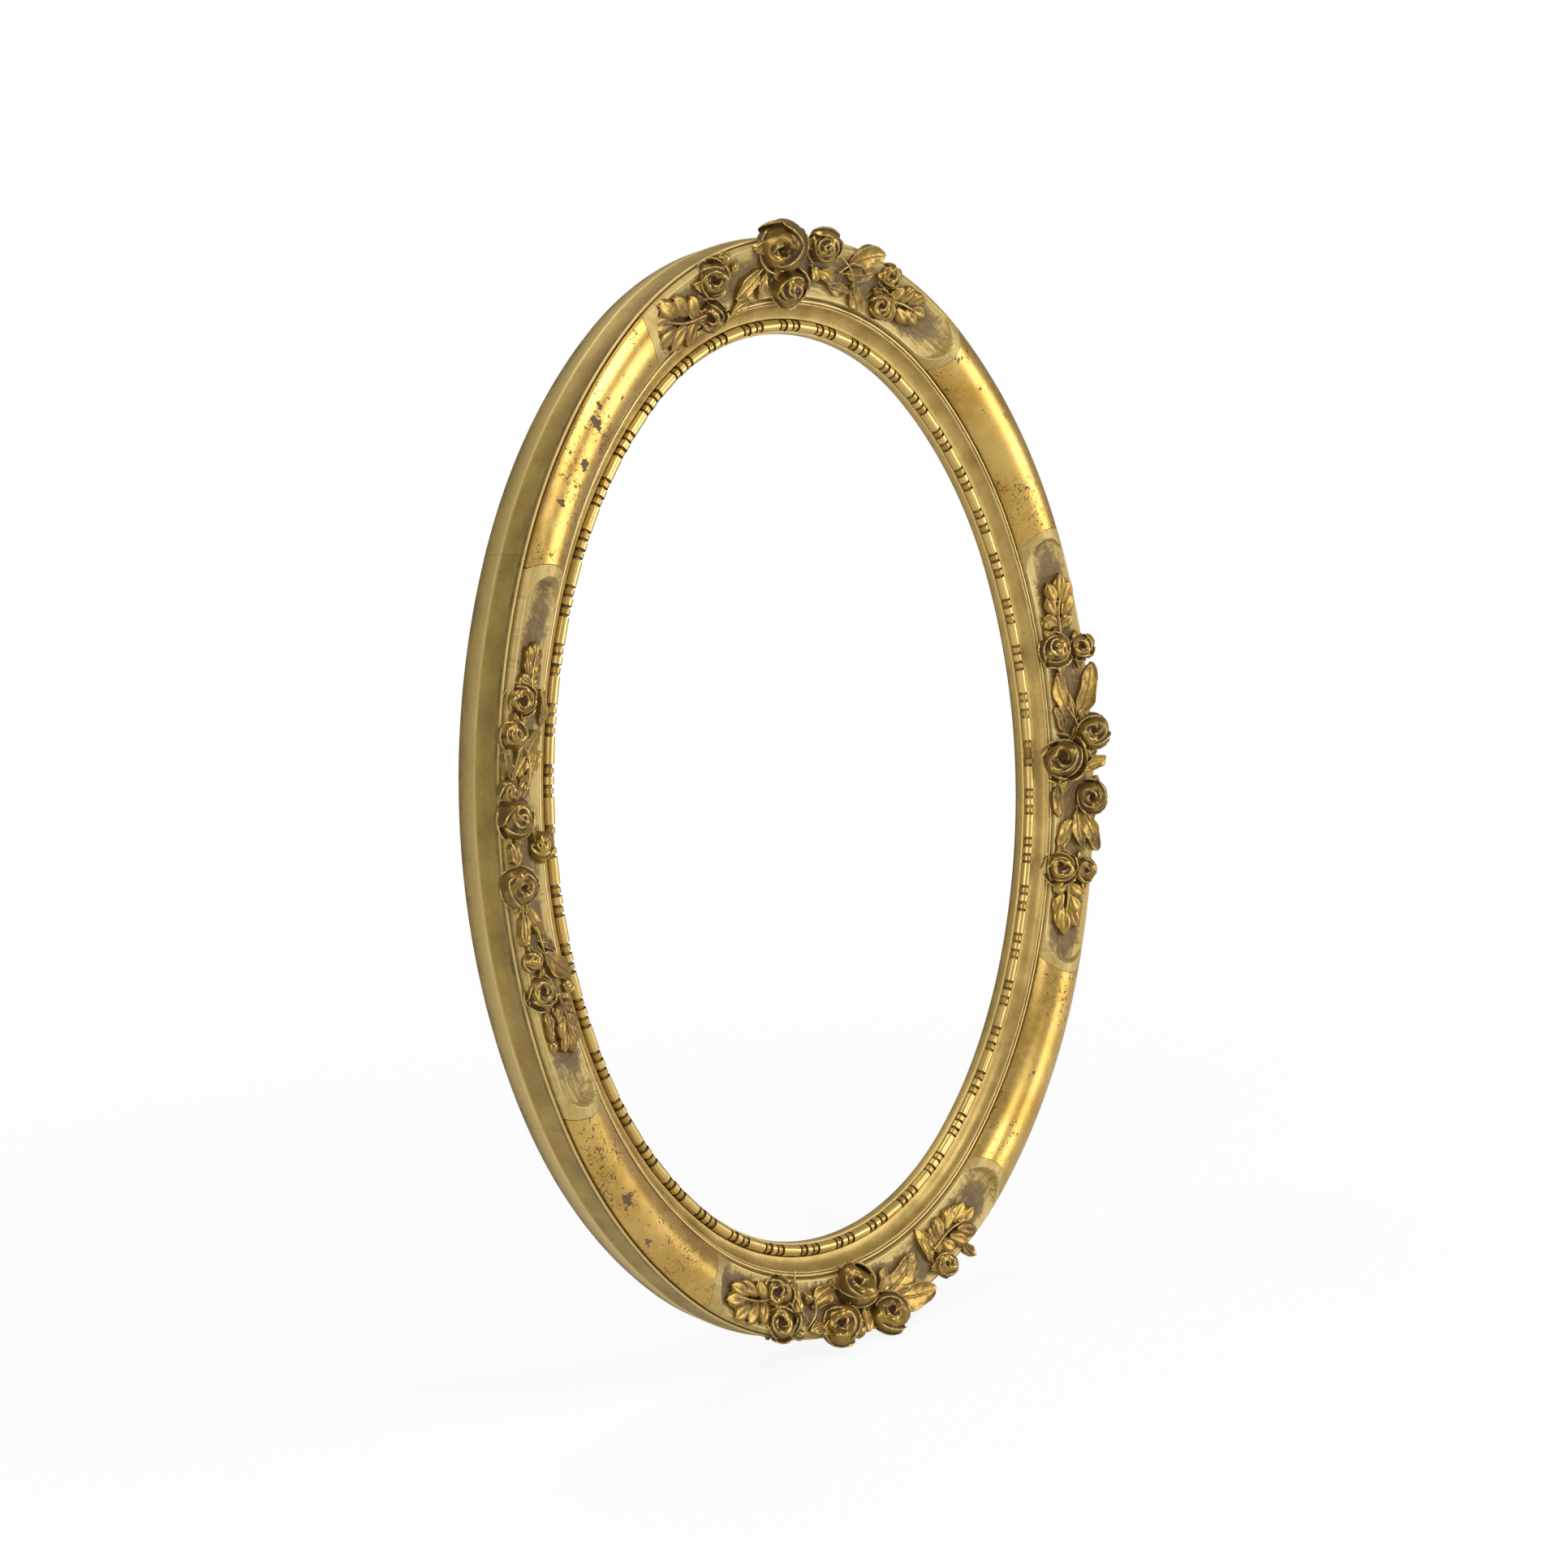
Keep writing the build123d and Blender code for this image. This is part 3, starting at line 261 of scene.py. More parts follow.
# Radius of each panel's middle line
MIDDLE_RADIUS = {side: OVAL_ARCS[arc][2] + PAN_MIDDLE[0] for side, arc in zip(SIDES, (0, 2, 0, 2))}


def panel_length(side):
    """Length along the panel's middle from its centre to the centre of its round end."""
    start, end = ARCS[side]
    return math.radians((end - start) / 2) * MIDDLE_RADIUS[side] - END_BAND_RADIUS


def panel_angle(side, along):
    return SIDES[side] + np.degrees(along / MIDDLE_RADIUS[side])


def on_panel(side, along, across, height):
    """Metres in the row frame for places on a side's panel."""
    along, across, height = np.broadcast_arrays(np.asarray(along, float), across, height)
    offset = PAN_MIDDLE[0] + across * math.cos(PAN_TILT) - height * math.sin(PAN_TILT)
    depth = PAN_MIDDLE[1] + across * math.sin(PAN_TILT) + height * math.cos(PAN_TILT)
    return frame_points(panel_angle(side, along), offset, depth)


def round_height(across):
    return np.sqrt(ROUND_RADIUS ** 2 - across ** 2) - ROUND_DROP


def pan_height(side, along, across):
    past = np.maximum(np.abs(along) - panel_length(side), 0)
    reach = np.hypot(past, across)
    floor = -PAN_HOLLOW * (1 - (reach / PAN_HALF) ** 2)
    return np.where(reach < PAN_HALF, floor, (reach - PAN_HALF) * PAN_FLANK_RISE / PAN_FLANK_RUN)


# Meshes

HARD_CORNER = math.radians(50)
# Millimetres that a UV map runs on for each radian round the oval
RUN_RADIUS = 240


def new_mesh(name, points, faces, uvs=None, materials=(), indices=None):
    mesh = bpy.data.meshes.new(name)
    mesh.from_pydata([tuple(p) for p in points], [], faces)
    mesh.polygons.foreach_set("use_smooth", [True] * len(mesh.polygons))
    if uvs is not None:
        layer = mesh.uv_layers.new(name="run")
        loops = np.empty(len(mesh.loops), int)
        mesh.loops.foreach_get("vertex_index", loops)
        layer.data.foreach_set("uv", np.asarray(uvs, float)[loops].ravel())
    for material in materials:
        mesh.materials.append(material)
    if indices is not None:
        mesh.polygons.foreach_set("material_index", indices)
    return add_object(name, mesh)


def finish_faces(piece):
    """Turns all faces outward and splits the shading at hard corners."""
    bm = bmesh.new()
    bm.from_mesh(piece.data)
    bmesh.ops.recalc_face_normals(bm, faces=bm.faces)
    for edge in bm.edges:
        if len(edge.link_faces) == 2 and edge.calc_face_angle(0) > HARD_CORNER:
            edge.smooth = False
    bm.to_mesh(piece.data)
    bm.free()


def grid_faces(rows, columns, first=0, closed=False):
    """Faces between rows of points. Closed rows are rings."""
    corners = ((0, 0), (0, 1), (1, 1), (1, 0))
    return [tuple(first + (i + di) * columns + (j + dj) % columns for di, dj in corners)
            for i in range(rows - 1) for j in range(columns if closed else columns - 1)]


def ring_faces(rings, sides):
    """Faces of a tube made of rings of points, closed at both ends."""
    ends = [tuple(reversed(range(sides))), tuple(range((rings - 1) * sides, rings * sides))]
    return grid_faces(rings, sides, closed=True) + ends


def moulding(name, outline, start_angles, end_angles, steps, materials, paint=None, masks=None):
    """Carries a closed outline round the oval. Each outline point has its own first and last angle.
    paint gives the material index for a face's place in the outline, and masks gives how much of a hollow,
    darkened with dust and painted shade, and of a worn ridge, brightened with painted highlight, a point is."""
    outline = np.array(outline)
    count = len(outline)
    share = np.linspace(0, 1, steps + 1)[:, None]
    angles = np.broadcast_to(start_angles, count) * (1 - share) + np.broadcast_to(end_angles, count) * share
    points = frame_points(angles, outline[:, 0], outline[:, 1])
    girth = np.broadcast_to(running_length(outline), angles.shape)
    uvs = np.stack([np.radians(angles) * RUN_RADIUS, girth], -1) * MM
    middles = (outline + np.roll(outline, -1, axis=0)) / 2
    indices = [paint(*middle) if paint else 0 for middle in middles] * steps + [0, 0]
    faces = ring_faces(steps + 1, count)
    faces[-2:] = [end[::-1] for end in faces[-2:]]  # this order sets how the curved butted ends are filled
    piece = new_mesh(name, points.reshape(-1, 3), faces, uvs.reshape(-1, 2), materials, indices)
    if masks:
        marks = np.array([masks(*point) for point in outline])
        for column, mask in enumerate(("hollow", "ridge")):
            set_mask(piece, mask, np.tile(marks[:, column], steps + 1))
    finish_faces(piece)
    return piece


def set_mask(piece, name, values):
    layer = piece.data.attributes.new(name, "FLOAT", "POINT")
    layer.data.foreach_set("value", np.asarray(values, float))


def bump_at(value, centre, width):
    """1 at the centre, falling off to both sides."""
    return math.exp(-((value - centre) / width) ** 2)


# Materials: node helpers

class Nodes:
    """Short calls that add and link nodes in one tree."""

    def __init__(self, tree):
        self.tree = tree

    def add(self, kind, inputs=(), **settings):
        node = self.tree.nodes.new(kind)
        for key, value in settings.items():
            setattr(node, key, value)
        for key, value in dict(inputs).items():
            self.set(node.inputs[key], value)
        return node

    def set(self, socket, value):
        if isinstance(value, bpy.types.NodeSocket):
            self.tree.links.new(value, socket)
        elif isinstance(value, bpy.types.Node):
            self.tree.links.new(value.outputs[0], socket)
        else:
            socket.default_value = value

    def math(self, operation, a, b, clamp=False):
        return self.add("ShaderNodeMath", {0: a, 1: b}, operation=operation, use_clamp=clamp).outputs[0]

    def plus(self, a, b):
        return self.math("ADD", a, b)

    def minus(self, a, b, clamp=False):
        return self.math("SUBTRACT", a, b, clamp)

    def times(self, a, b):
        return self.math("MULTIPLY", a, b)

    def mix(self, share, a, b):
        return self.add("ShaderNodeMix", {0: share, 6: a, 7: b}, data_type="RGBA").outputs[2]

    def ramp(self, value, low, high, a=0.0, b=1.0):
        return self.add("ShaderNodeMapRange", {0: value, 1: low, 2: high, 3: a, 4: b}, clamp=True).outputs[0]

    def noise(self, where, scale, detail=4.0, roughness=0.55, distortion=0.0):
        """Cloudy values with so many waves to the metre."""
        inputs = {"Vector": where, "Scale": scale, "Detail": detail, "Roughness": roughness,
                  "Distortion": distortion}
        return self.add("ShaderNodeTexNoise", inputs).outputs[0]

    def stretched(self, where, scale):
        return self.add("ShaderNodeMapping", {"Vector": where, "Scale": scale}).outputs[0]

    def place(self):
        return self.add("ShaderNodeTexCoord").outputs["Object"]

    def run(self):
        return self.add("ShaderNodeUVMap", uv_map="run").outputs[0]

    def mask(self, name):
        return self.add("ShaderNodeAttribute", attribute_name=name).outputs["Fac"]


def colour(r, g, b):
    """Linear colour from the 0 to 255 values that a picture shows."""
    def linear(v):
        v /= 255
        return v / 12.92 if v <= 0.04045 else ((v + 0.055) / 1.055) ** 2.4
    return (linear(r), linear(g), linear(b), 1.0)


def shader_group(name, inputs, outputs):
    """A node group of masks. inputs gives each input's first value, or None for a vector."""
    group = bpy.data.node_groups.new(name, "ShaderNodeTree")
    for title, value in inputs.items():
        kind = "NodeSocketVector" if value is None else "NodeSocketFloat"
        socket = group.interface.new_socket(title, in_out="INPUT", socket_type=kind)
        if value is not None:
            socket.default_value = value
    for title in outputs:
        group.interface.new_socket(title, in_out="OUTPUT", socket_type="NodeSocketFloat")
    n = Nodes(group)
    return group, n, n.add("NodeGroupInput").outputs, n.add("NodeGroupOutput").inputs


def speckle_group():
    """Small dark pits and a few chips where the leaf has flaked."""
    group, n, given, out = shader_group("flaking", {"Vector": None, "Size": 900.0, "Amount": 0.5, "Chips": 0.5},
                                        ("Pits", "Chips"))
    fine = n.noise(given["Vector"], given["Size"], 3.0, 0.6, 1.2)
    patch = n.noise(given["Vector"], 45.0, 3.0, 0.6)
    level = n.minus(n.minus(1.015, n.times(patch, 0.55)), n.times(given["Amount"], 0.12))
    n.set(out["Pits"], n.ramp(n.minus(fine, level), 0.0, 0.03))
    broad = n.noise(given["Vector"], 70.0, 6.0, 0.7, 0.3)
    level = n.minus(0.86, n.times(given["Chips"], 0.12))
    n.set(out["Chips"], n.ramp(n.minus(broad, level), 0.0, 0.012))
    return group


def grime_and_shade_group():
    """Brown grey dust and wax that lies in hollows and streaks, with painted shade darkening the hollows too.
    """
    group, n, given, out = shader_group("grime_and_shade", {"Vector": None, "Hollow": 0.0, "Amount": 0.5}, ("Mask",))
    cloud = n.noise(given["Vector"], 60.0, 5.0, 0.65, 0.4)
    fine = n.noise(given["Vector"], 420.0, 4.0, 0.6)
    # The Hollow input adds painted shade in the hollows on top of the dust
    level = n.plus(n.plus(n.times(cloud, 0.7), n.times(fine, 0.3)), n.times(given["Hollow"], 0.45))
    shift = n.minus(0.78, n.times(given["Amount"], 0.4))
    n.set(out["Mask"], n.ramp(n.minus(level, shift), 0.0, 0.22))
    return group


FLAKING = speckle_group()
GRIME_AND_SHADE = grime_and_shade_group()


def material(name):
    made = bpy.data.materials.new(name)
    made.use_nodes = True
    made.node_tree.nodes.clear()
    n = Nodes(made.node_tree)
    surface = n.add("ShaderNodeBsdfPrincipled")
    n.add("ShaderNodeOutputMaterial", {"Surface": surface})
    return made, n, surface


def bumped(n, surface, height, strength, distance):
    bump = n.add("ShaderNodeBump", {"Height": height, "Strength": strength, "Distance": distance})
    n.set(surface.inputs["Normal"], bump)


# Larger losses in the burnished leaf: angle clockwise from the top, offset and size
CHIPS = [(308.5, 35, 3.0), (310, 37, 1.8), (304, 31, 2.4), (299, 36, 2.0), (236.6, 36, 3.4), (231, 40, 2.0)]


def burnished_gold():
    made, n, surface = material("burnished_gold")
    where = n.place()
    warm = n.noise(where, 26.0, 4.0, 0.6)
    base = n.mix(n.ramp(warm, 0.35, 0.68), colour(198, 166, 92), colour(178, 139, 62))
    fine = n.noise(where, 260.0, 3.0, 0.6)
    base = n.mix(n.times(n.ramp(fine, 0.5, 0.8), 0.35), base, colour(220, 190, 122))
    flakes = n.add("ShaderNodeGroup", {"Vector": where, "Size": 560.0, "Amount": 0.95, "Chips": 1.6},
                   node_tree=FLAKING)
    pits, chips = flakes.outputs["Pits"], flakes.outputs["Chips"]
    base = n.mix(pits, base, colour(96, 62, 22))
    jagged = n.times(n.minus(n.noise(where, 330.0, 3.0, 0.6), 0.5), 5.0)
    for angle, offset, size in CHIPS:
        centre = frame_points(angle, offset, round_depth(offset))
        away = n.add("ShaderNodeVectorMath", {0: where, 1: centre}, operation="DISTANCE").outputs["Value"]
        away = n.times(away, 1 / (size * MM))
        chips = n.math("MAXIMUM", chips, n.ramp(n.plus(away, jagged), 1.0, 0.85))
    n.set(surface.inputs["Base Color"], n.mix(chips, base, colour(88, 64, 46)))
    worn = n.math("MAXIMUM", pits, chips)
    n.set(surface.inputs["Metallic"], n.ramp(worn, 0.0, 1.0, 0.85, 0.05))
    n.set(surface.inputs["Roughness"], n.plus(n.ramp(fine, 0.3, 0.8, 0.29, 0.40), n.times(worn, 0.35)))
    bumped(n, surface, n.minus(n.times(fine, 0.3), n.times(worn, 0.8)), 0.5, 0.0002)
    return made


def rub_highlight_and_dull(n, surface, base, rub_and_highlight_colour, least, cloud, dirt_and_shade, metallic, roughness):
    """Rubs ridges bright, as wear and painted highlight, least where the cloud is low, and makes places of dirt
    and painted shade dull. metallic and roughness have a value for clean places and for places of dirt and
    painted shade."""
    rubbed_and_lit = n.times(n.mask("ridge"), n.ramp(cloud, 0.3, 0.6, least, 1.0))
    n.set(surface.inputs["Base Color"], n.mix(rubbed_and_lit, base, rub_and_highlight_colour))
    dirt_and_shade = n.minus(dirt_and_shade, rubbed_and_lit, clamp=True)
    n.set(surface.inputs["Metallic"], n.ramp(dirt_and_shade, 0.0, 1.0, *metallic))
    n.set(surface.inputs["Roughness"], n.ramp(dirt_and_shade, 0.0, 1.0, *roughness))


def matte_gold(name, light, dark, grime_and_shade_colour, grime_and_shade_amount, metallic, roughness, rub_and_highlight_colour=colour(232, 205, 132)):
    """Oil gilding under wax and dust. Streaks are dark with dust, hollows with dust and painted shade, and
    edges are rubbed bright with wear and painted highlights.
    """
    made, n, surface = material(name)
    where = n.place()
    cloud = n.noise(where, 55.0, 4.0, 0.6)
    base = n.mix(n.ramp(cloud, 0.35, 0.7), light, dark)
    fine = n.noise(where, 600.0, 3.0, 0.6)
    base = n.mix(n.times(n.ramp(fine, 0.45, 0.8), 0.3), base, colour(120, 96, 48))
    # Dust in streaks, and painted shade with dust in the hollows
    grime_and_shade = n.add("ShaderNodeGroup", {"Vector": where, "Hollow": n.mask("hollow"), "Amount": grime_and_shade_amount},
                  node_tree=GRIME_AND_SHADE)
    base = n.mix(grime_and_shade, base, grime_and_shade_colour)
    rub_highlight_and_dull(n, surface, base, rub_and_highlight_colour, 0.6, cloud, grime_and_shade.outputs["Mask"], (metallic, 0.08), (roughness, 0.8))
    bumped(n, surface, n.plus(fine, n.times(cloud, 0.5)), 0.35, 0.0002)
    return made


def panel_gold():
    """Matte leaf brushed with grey brown wax, which lies in streaks along the panel's floor. The wax colour
    also paints shade deep in the pan and round the flowers, and the crest's edges carry painted highlights with
    wear.
    """
    made, n, surface = material("panel_gold")
    patch = n.noise(n.place(), 65.0, 3.0, 0.6)
    run = n.run()
    along, aside = (n.noise(n.stretched(run, scale), 1.0, 5.0, 0.62, 1.1)
                    for scale in ((50.0, 380.0, 1.0), (330.0, 70.0, 1.0)))
    streak = n.add("ShaderNodeMix", {0: n.ramp(patch, 0.42, 0.60), 2: along, 3: aside}).outputs[0]
    gold = n.mix(n.ramp(streak, 0.35, 0.70), colour(188, 164, 98), colour(150, 126, 72))
    wax_and_shade = n.mix(n.ramp(streak, 0.38, 0.66), colour(86, 66, 36), colour(128, 104, 60))
    # Wax in streaks and patches, and painted shade where the hollow mask is high: deep in the pan and near the
    # flowers
    level = n.plus(n.times(n.mask("hollow"), 0.90), n.times(n.minus(streak, 0.5), 1.5))
    level = n.plus(level, n.times(n.minus(patch, 0.5), 1.4))
    dirt_and_shade = n.ramp(level, 0.34, 0.66)
    base = n.mix(dirt_and_shade, gold, wax_and_shade)
    # Crest edges are brightened as wear and painted highlight
    rub_highlight_and_dull(n, surface, base, colour(228, 206, 146), 0.7, patch, dirt_and_shade, (0.45, 0.06), (0.50, 0.72))
    bumped(n, surface, streak, 0.4, 0.0003)
    return made


def wood(name, light, dark, mapped):
    """Plain wood with its grain along the UV map's first axis, or along X where there is no map."""
    made, n, surface = material(name)
    where = n.run() if mapped else n.place()
    grain = n.noise(n.stretched(where, (14.0, 420.0, 420.0)), 1.0, 5.0, 0.6, 0.4)
    tone = n.noise(where, 18.0, 3.0)
    base = n.mix(n.ramp(grain, 0.3, 0.7), light, dark)
    n.set(surface.inputs["Base Color"], n.mix(n.ramp(tone, 0.4, 0.75), base, colour(150, 118, 76)))
    n.set(surface.inputs["Roughness"], 0.72)
    bumped(n, surface, grain, 0.3, 0.0002)
    return made


def worn_metal(name, bright, dull, roughness):
    made, n, surface = material(name)
    cloud = n.noise(n.place(), 320.0, 4.0, 0.6)
    n.set(surface.inputs["Base Color"], n.mix(n.ramp(cloud, 0.35, 0.7), bright, dull))
    n.set(surface.inputs["Roughness"], n.ramp(cloud, 0.3, 0.7, roughness, roughness + 0.2))
    n.set(surface.inputs["Metallic"], 0.9)
    bumped(n, surface, cloud, 0.2, 0.0001)
    return made


BURNISHED = burnished_gold()
# In each matte gold the third colour is dust with painted shade in the hollows; rubbed ridges get painted
# highlights with wear
SIDE_GOLD = matte_gold("side_gold", colour(166, 140, 72), colour(134, 108, 50), colour(92, 74, 34),
                       0.36, 0.45, 0.5)
PANEL_GOLD = panel_gold()
COVE_GOLD = matte_gold("cove_gold", colour(184, 156, 88), colour(146, 118, 56), colour(96, 74, 36),
                       0.42, 0.55, 0.42)
BEAD_GOLD = matte_gold("bead_gold", colour(192, 158, 80), colour(150, 118, 52), colour(110, 82, 40),
                       0.40, 0.7, 0.32)
FLOWER_GOLD = matte_gold("flower_gold", colour(162, 132, 62), colour(114, 86, 36), colour(68, 44, 22),
                         0.66, 0.78, 0.28, colour(222, 196, 122))
WOOD = wood("bare_wood", colour(128, 92, 54), colour(92, 62, 34), True)
DOWEL_WOOD = wood("dowel_wood", colour(168, 132, 86), colour(134, 100, 60), False)
BRASS = worn_metal("aged_brass", colour(168, 134, 66), colour(112, 84, 40), 0.35)
STEEL = worn_metal("dull_steel", colour(120, 116, 108), colour(84, 76, 68), 0.45)


# Mouldings and panels

def ride(piece, body, slot, *nodes):
    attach(piece, body)
    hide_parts(*nodes)


JOINT_GAP_ANGLE = 0.012
CARCASS_STEPS_PER_DEGREE = 2
COVE_STEPS, ROUND_STEPS, WEB_STEPS = 180, 120, 90


def build_carcass():
    outline = eased(carcass_outline(), 0.3)

    def paint(offset, depth):
        return int(depth < 0.3 or (offset < BED_INNER_OFFSET + 0.2 and depth < REBATE_DEPTH))

    def masks(offset, depth):
        # Painted shade with dust under the lip, darker towards the back edge; painted highlight with wear on
        # the arris and the lip
        if offset <= SCOOP_OFFSET - 0.6:
            return 0, 0
        return (max(0.75 * bump_at(depth, LIP_DEPTH - 2.2, 1.6), 0.7 * bump_at(depth, 0, 2.0)),
                max(0.75 * bump_at(depth, ARRIS_DEPTH, 0.7), 0.6 * bump_at(depth, LIP_DEPTH, 0.4)))

    for name, (start, end) in ARCS.items():
        start, end = start + JOINT_GAP_ANGLE, end - JOINT_GAP_ANGLE
        steps = round((end - start) * CARCASS_STEPS_PER_DEGREE)
        piece = moulding("gilt_carcass_" + name, outline, start, end, steps, [SIDE_GOLD, WOOD], paint, masks)
        ride(piece, "frame", "old_gilt_wood", "carcass_" + name)


def build_sight_mouldings():
    outline = eased(sight_outline(), 0.3)

    def paint(offset, depth):
        return int(depth < REBATE_DEPTH + 0.1)

    def masks(offset, depth):
        def spot_mark(middle_offset, reach, middle_depth, rise, share):
            return bump_at(offset, middle_offset, reach) * bump_at(depth, middle_depth, rise) * share

        # Painted shade with dust on the bead bed, in the cove's corner and beside the panel; painted highlights
        # with wear on the raised line, the crest, the sight edge and the fillet
        bed = 0.95 if depth < BEAD_BED_DEPTH + 0.6 and offset > SIGHT_OFFSET + 1 else 0
        corner = spot_mark(COVE_OUTER_OFFSET + 0.8, 0.5, COVE_OUTER_DEPTH, 0.4, 0.9)
        beside = spot_mark(BED_INNER_OFFSET, 0.6, COVE_OUTER_DEPTH, 0.5, 1)
        line = bump_at(depth, COVE_OUTER_DEPTH + LINE_HEIGHT, 0.3) * 0.85
        crest = spot_mark(COVE_OUTER_OFFSET, 0.5, COVE_OUTER_DEPTH, 0.5, 0.5)
        edge = spot_mark(SIGHT_OFFSET, 0.7, BEAD_BED_DEPTH, 1.0, 0.7)
        fillet = spot_mark(BEAD_BED_HALF_WIDTH, 0.5, COVE_INNER_DEPTH, 0.5, 0.6)
        return max(bed, corner, beside), max(line, crest, edge, fillet)

    for name, start in QUARTERS.items():
        start, end = start + JOINT_GAP_ANGLE, start + 90 - JOINT_GAP_ANGLE
        piece = moulding("gilt_cove_" + name, outline, start, end, COVE_STEPS, [COVE_GOLD, WOOD], paint, masks)
        ride(piece, "frame", "matte_gold", "sight_moulding_" + name)


def round_outline(count):
    offsets = np.linspace(ROUND_INNER_OFFSET, ROUND_OUTER_OFFSET, count)
    crown = [(w, float(round_depth(w)), 0) for w in offsets]
    crown[0] = (*crown[0][:2], 0.3)
    crown[-1] = (*crown[-1][:2], 0.5)
    return crown + [(ROUND_OUTER_OFFSET, bed_depth(ROUND_OUTER_OFFSET) + GLUE_GAP, 0),
                    (ROUND_INNER_OFFSET, bed_depth(ROUND_INNER_OFFSET) + GLUE_GAP, 0)]


def across_of(offset, depth):
    return (offset - PAN_MIDDLE[0]) * math.cos(PAN_TILT) + (depth - PAN_MIDDLE[1]) * math.sin(PAN_TILT)


def end_reach(side, across, radius):
    """How far along from a side's middle its curved butt joint lies, at places across."""
    return panel_length(side) + np.sqrt(radius ** 2 - np.clip(across, -radius, radius) ** 2)


def build_burnished_lengths():
    outline = np.array(eased(round_outline(40), 0.4))
    across = across_of(outline[:, 0], outline[:, 1])
    reach = {side: np.degrees(end_reach(side, across, END_BAND_RADIUS + END_SEAM_WIDTH) / MIDDLE_RADIUS[side])
             for side in SIDES}
    ends = {"upper_right": ("top", "right"), "lower_right": ("right", "bottom"),
            "lower_left": ("bottom", "left"), "upper_left": ("left", "top")}
    for name, (before, after) in ends.items():
        start, end = SIDES[before] + reach[before], (SIDES[after] or 360) - reach[after]
        piece = moulding("burnished_round_" + name, outline, start, end, ROUND_STEPS, [BURNISHED])
        ride(piece, "frame", "burnished_gold", "burnished_length_" + name)


def solid_sheet(top, under):
    """Closed solid between two grids of points with the same rows and columns."""
    rows, columns = top.shape[:2]
    n = rows * columns
    faces = grid_faces(rows, columns) + [f[::-1] for f in grid_faces(rows, columns, n)]
    rim = [i * columns for i in range(rows)] + [(rows - 1) * columns + j for j in range(1, columns)]
    rim += [i * columns + columns - 1 for i in reversed(range(rows - 1))]
    rim += reversed(range(1, columns - 1))
    faces += [(a, b, b + n, a + n) for a, b in zip(rim, rim[1:] + rim[:1])]
    return np.concatenate([top.reshape(-1, 3), under.reshape(-1, 3)]), faces


PANEL_STEP = 0.6
# Reach of the painted shade and dust round the flowers, depth where the pan's painted shade and wax are full,
# and width of the worn, highlighted crest edge
DUST_AND_SHADE_REACH = 10.0
FULL_WAX_AND_SHADE_DEPTH, RUBBED_AND_LIT_EDGE_WIDTH = 6.0, 0.30


def dust_and_shade_near_flowers(side, along, across):
    """How close each place on a panel is to an applied flower, leaf or sprig, from 0 to 1."""
    stems = [(a, c, 0.0, 0.0, size) for a, c, size, *_ in ROSES[side]]
    stems += [(a, c, length, heading, width / 2) for a, c, length, width, heading in LEAVES[side]]
    stems += [(a, c, length * 0.75, heading, length * 0.25) for a, c, length, heading in SPRIGS[side]]
    nearest = np.full(along.shape, 99.0)
    for a, c, length, heading, reach in stems:
        way = np.array([math.cos(math.radians(heading)), math.sin(math.radians(heading))])
        run = np.clip((along - a) * way[0] + (across - c) * way[1], 0, length)
        gap = np.hypot(along - a - run * way[0], across - c - run * way[1]) - reach
        nearest = np.minimum(nearest, np.maximum(gap, 0))
    return np.exp(-(nearest / DUST_AND_SHADE_REACH) ** 2)


def solid_over(x, y, z, floor):
    """Closed solid between a grid of points and the level floor under it."""
    return solid_sheet(np.stack([x, y, z], -1), np.stack([x, y, np.full_like(x, floor)], -1))


def build_panels():
    """The cartouches: a grid over the round moulding, pressed down to the pan where that is lower."""
    offsets = np.concatenate([[ROUND_INNER_OFFSET, (ROUND_INNER_OFFSET + PAN_INNER_OFFSET) / 2],
                              np.linspace(PAN_INNER_OFFSET, PAN_OUTER_OFFSET, 62),
                              np.linspace(PAN_OUTER_OFFSET, ROUND_OUTER_OFFSET, 7)[1:]])
    across = across_of(offsets, round_depth(offsets))
    bed = bed_depth(offsets) + GLUE_GAP
    for side in SIDES:
        limit = end_reach(side, across, END_BAND_RADIUS)
        share = np.linspace(-1, 1, round(limit.max() * 2 / PANEL_STEP))[:, None]
        along = share * limit
        pan, crest = pan_height(side, along, across), round_height(across)
        height = np.minimum(crest, pan)
        points, faces = solid_sheet(on_panel(side, along, across, height),
                                    frame_points(panel_angle(side, along), offsets, bed))
        uv = np.stack([along, np.broadcast_to(across, along.shape)], -1).reshape(-1, 2) * MM
        piece = new_mesh("gilt_cartouche_" + side, points, faces, np.concatenate([uv, uv]), [PANEL_GOLD])
        # Painted shade with wax: darker the deeper the pan and the nearer a flower; the crest's edge is
        # brightened as wear and painted highlight
        near = dust_and_shade_near_flowers(side, along, across + 0 * along)
        deep = np.clip((crest - height) / FULL_WAX_AND_SHADE_DEPTH, 0, 1) * (0.60 + 0.40 * near)
        edge = np.exp(-((crest - pan) / RUBBED_AND_LIT_EDGE_WIDTH) ** 2) * 0.9
        for mask, values in (("hollow", deep), ("ridge", edge)):
            set_mask(piece, mask, np.concatenate([values.ravel(), np.zeros(values.size)]))
        finish_faces(piece)
        ride(piece, "frame", "matte_gold", "cartouche_" + side)


# Beads and reels

PITCHES = 48
REEL_SHARE, BALL_SHARE, DISC_SHARE = 0.45, 0.125, 0.09
BEAD_RADIUS, BEAD_END_RADIUS, DISC_RADIUS, BEAD_AXIS_HEIGHT = 3.1, 2.3, 2.8, 1.1
BEAD_FLOOR = BEAD_BED_DEPTH + GLUE_GAP
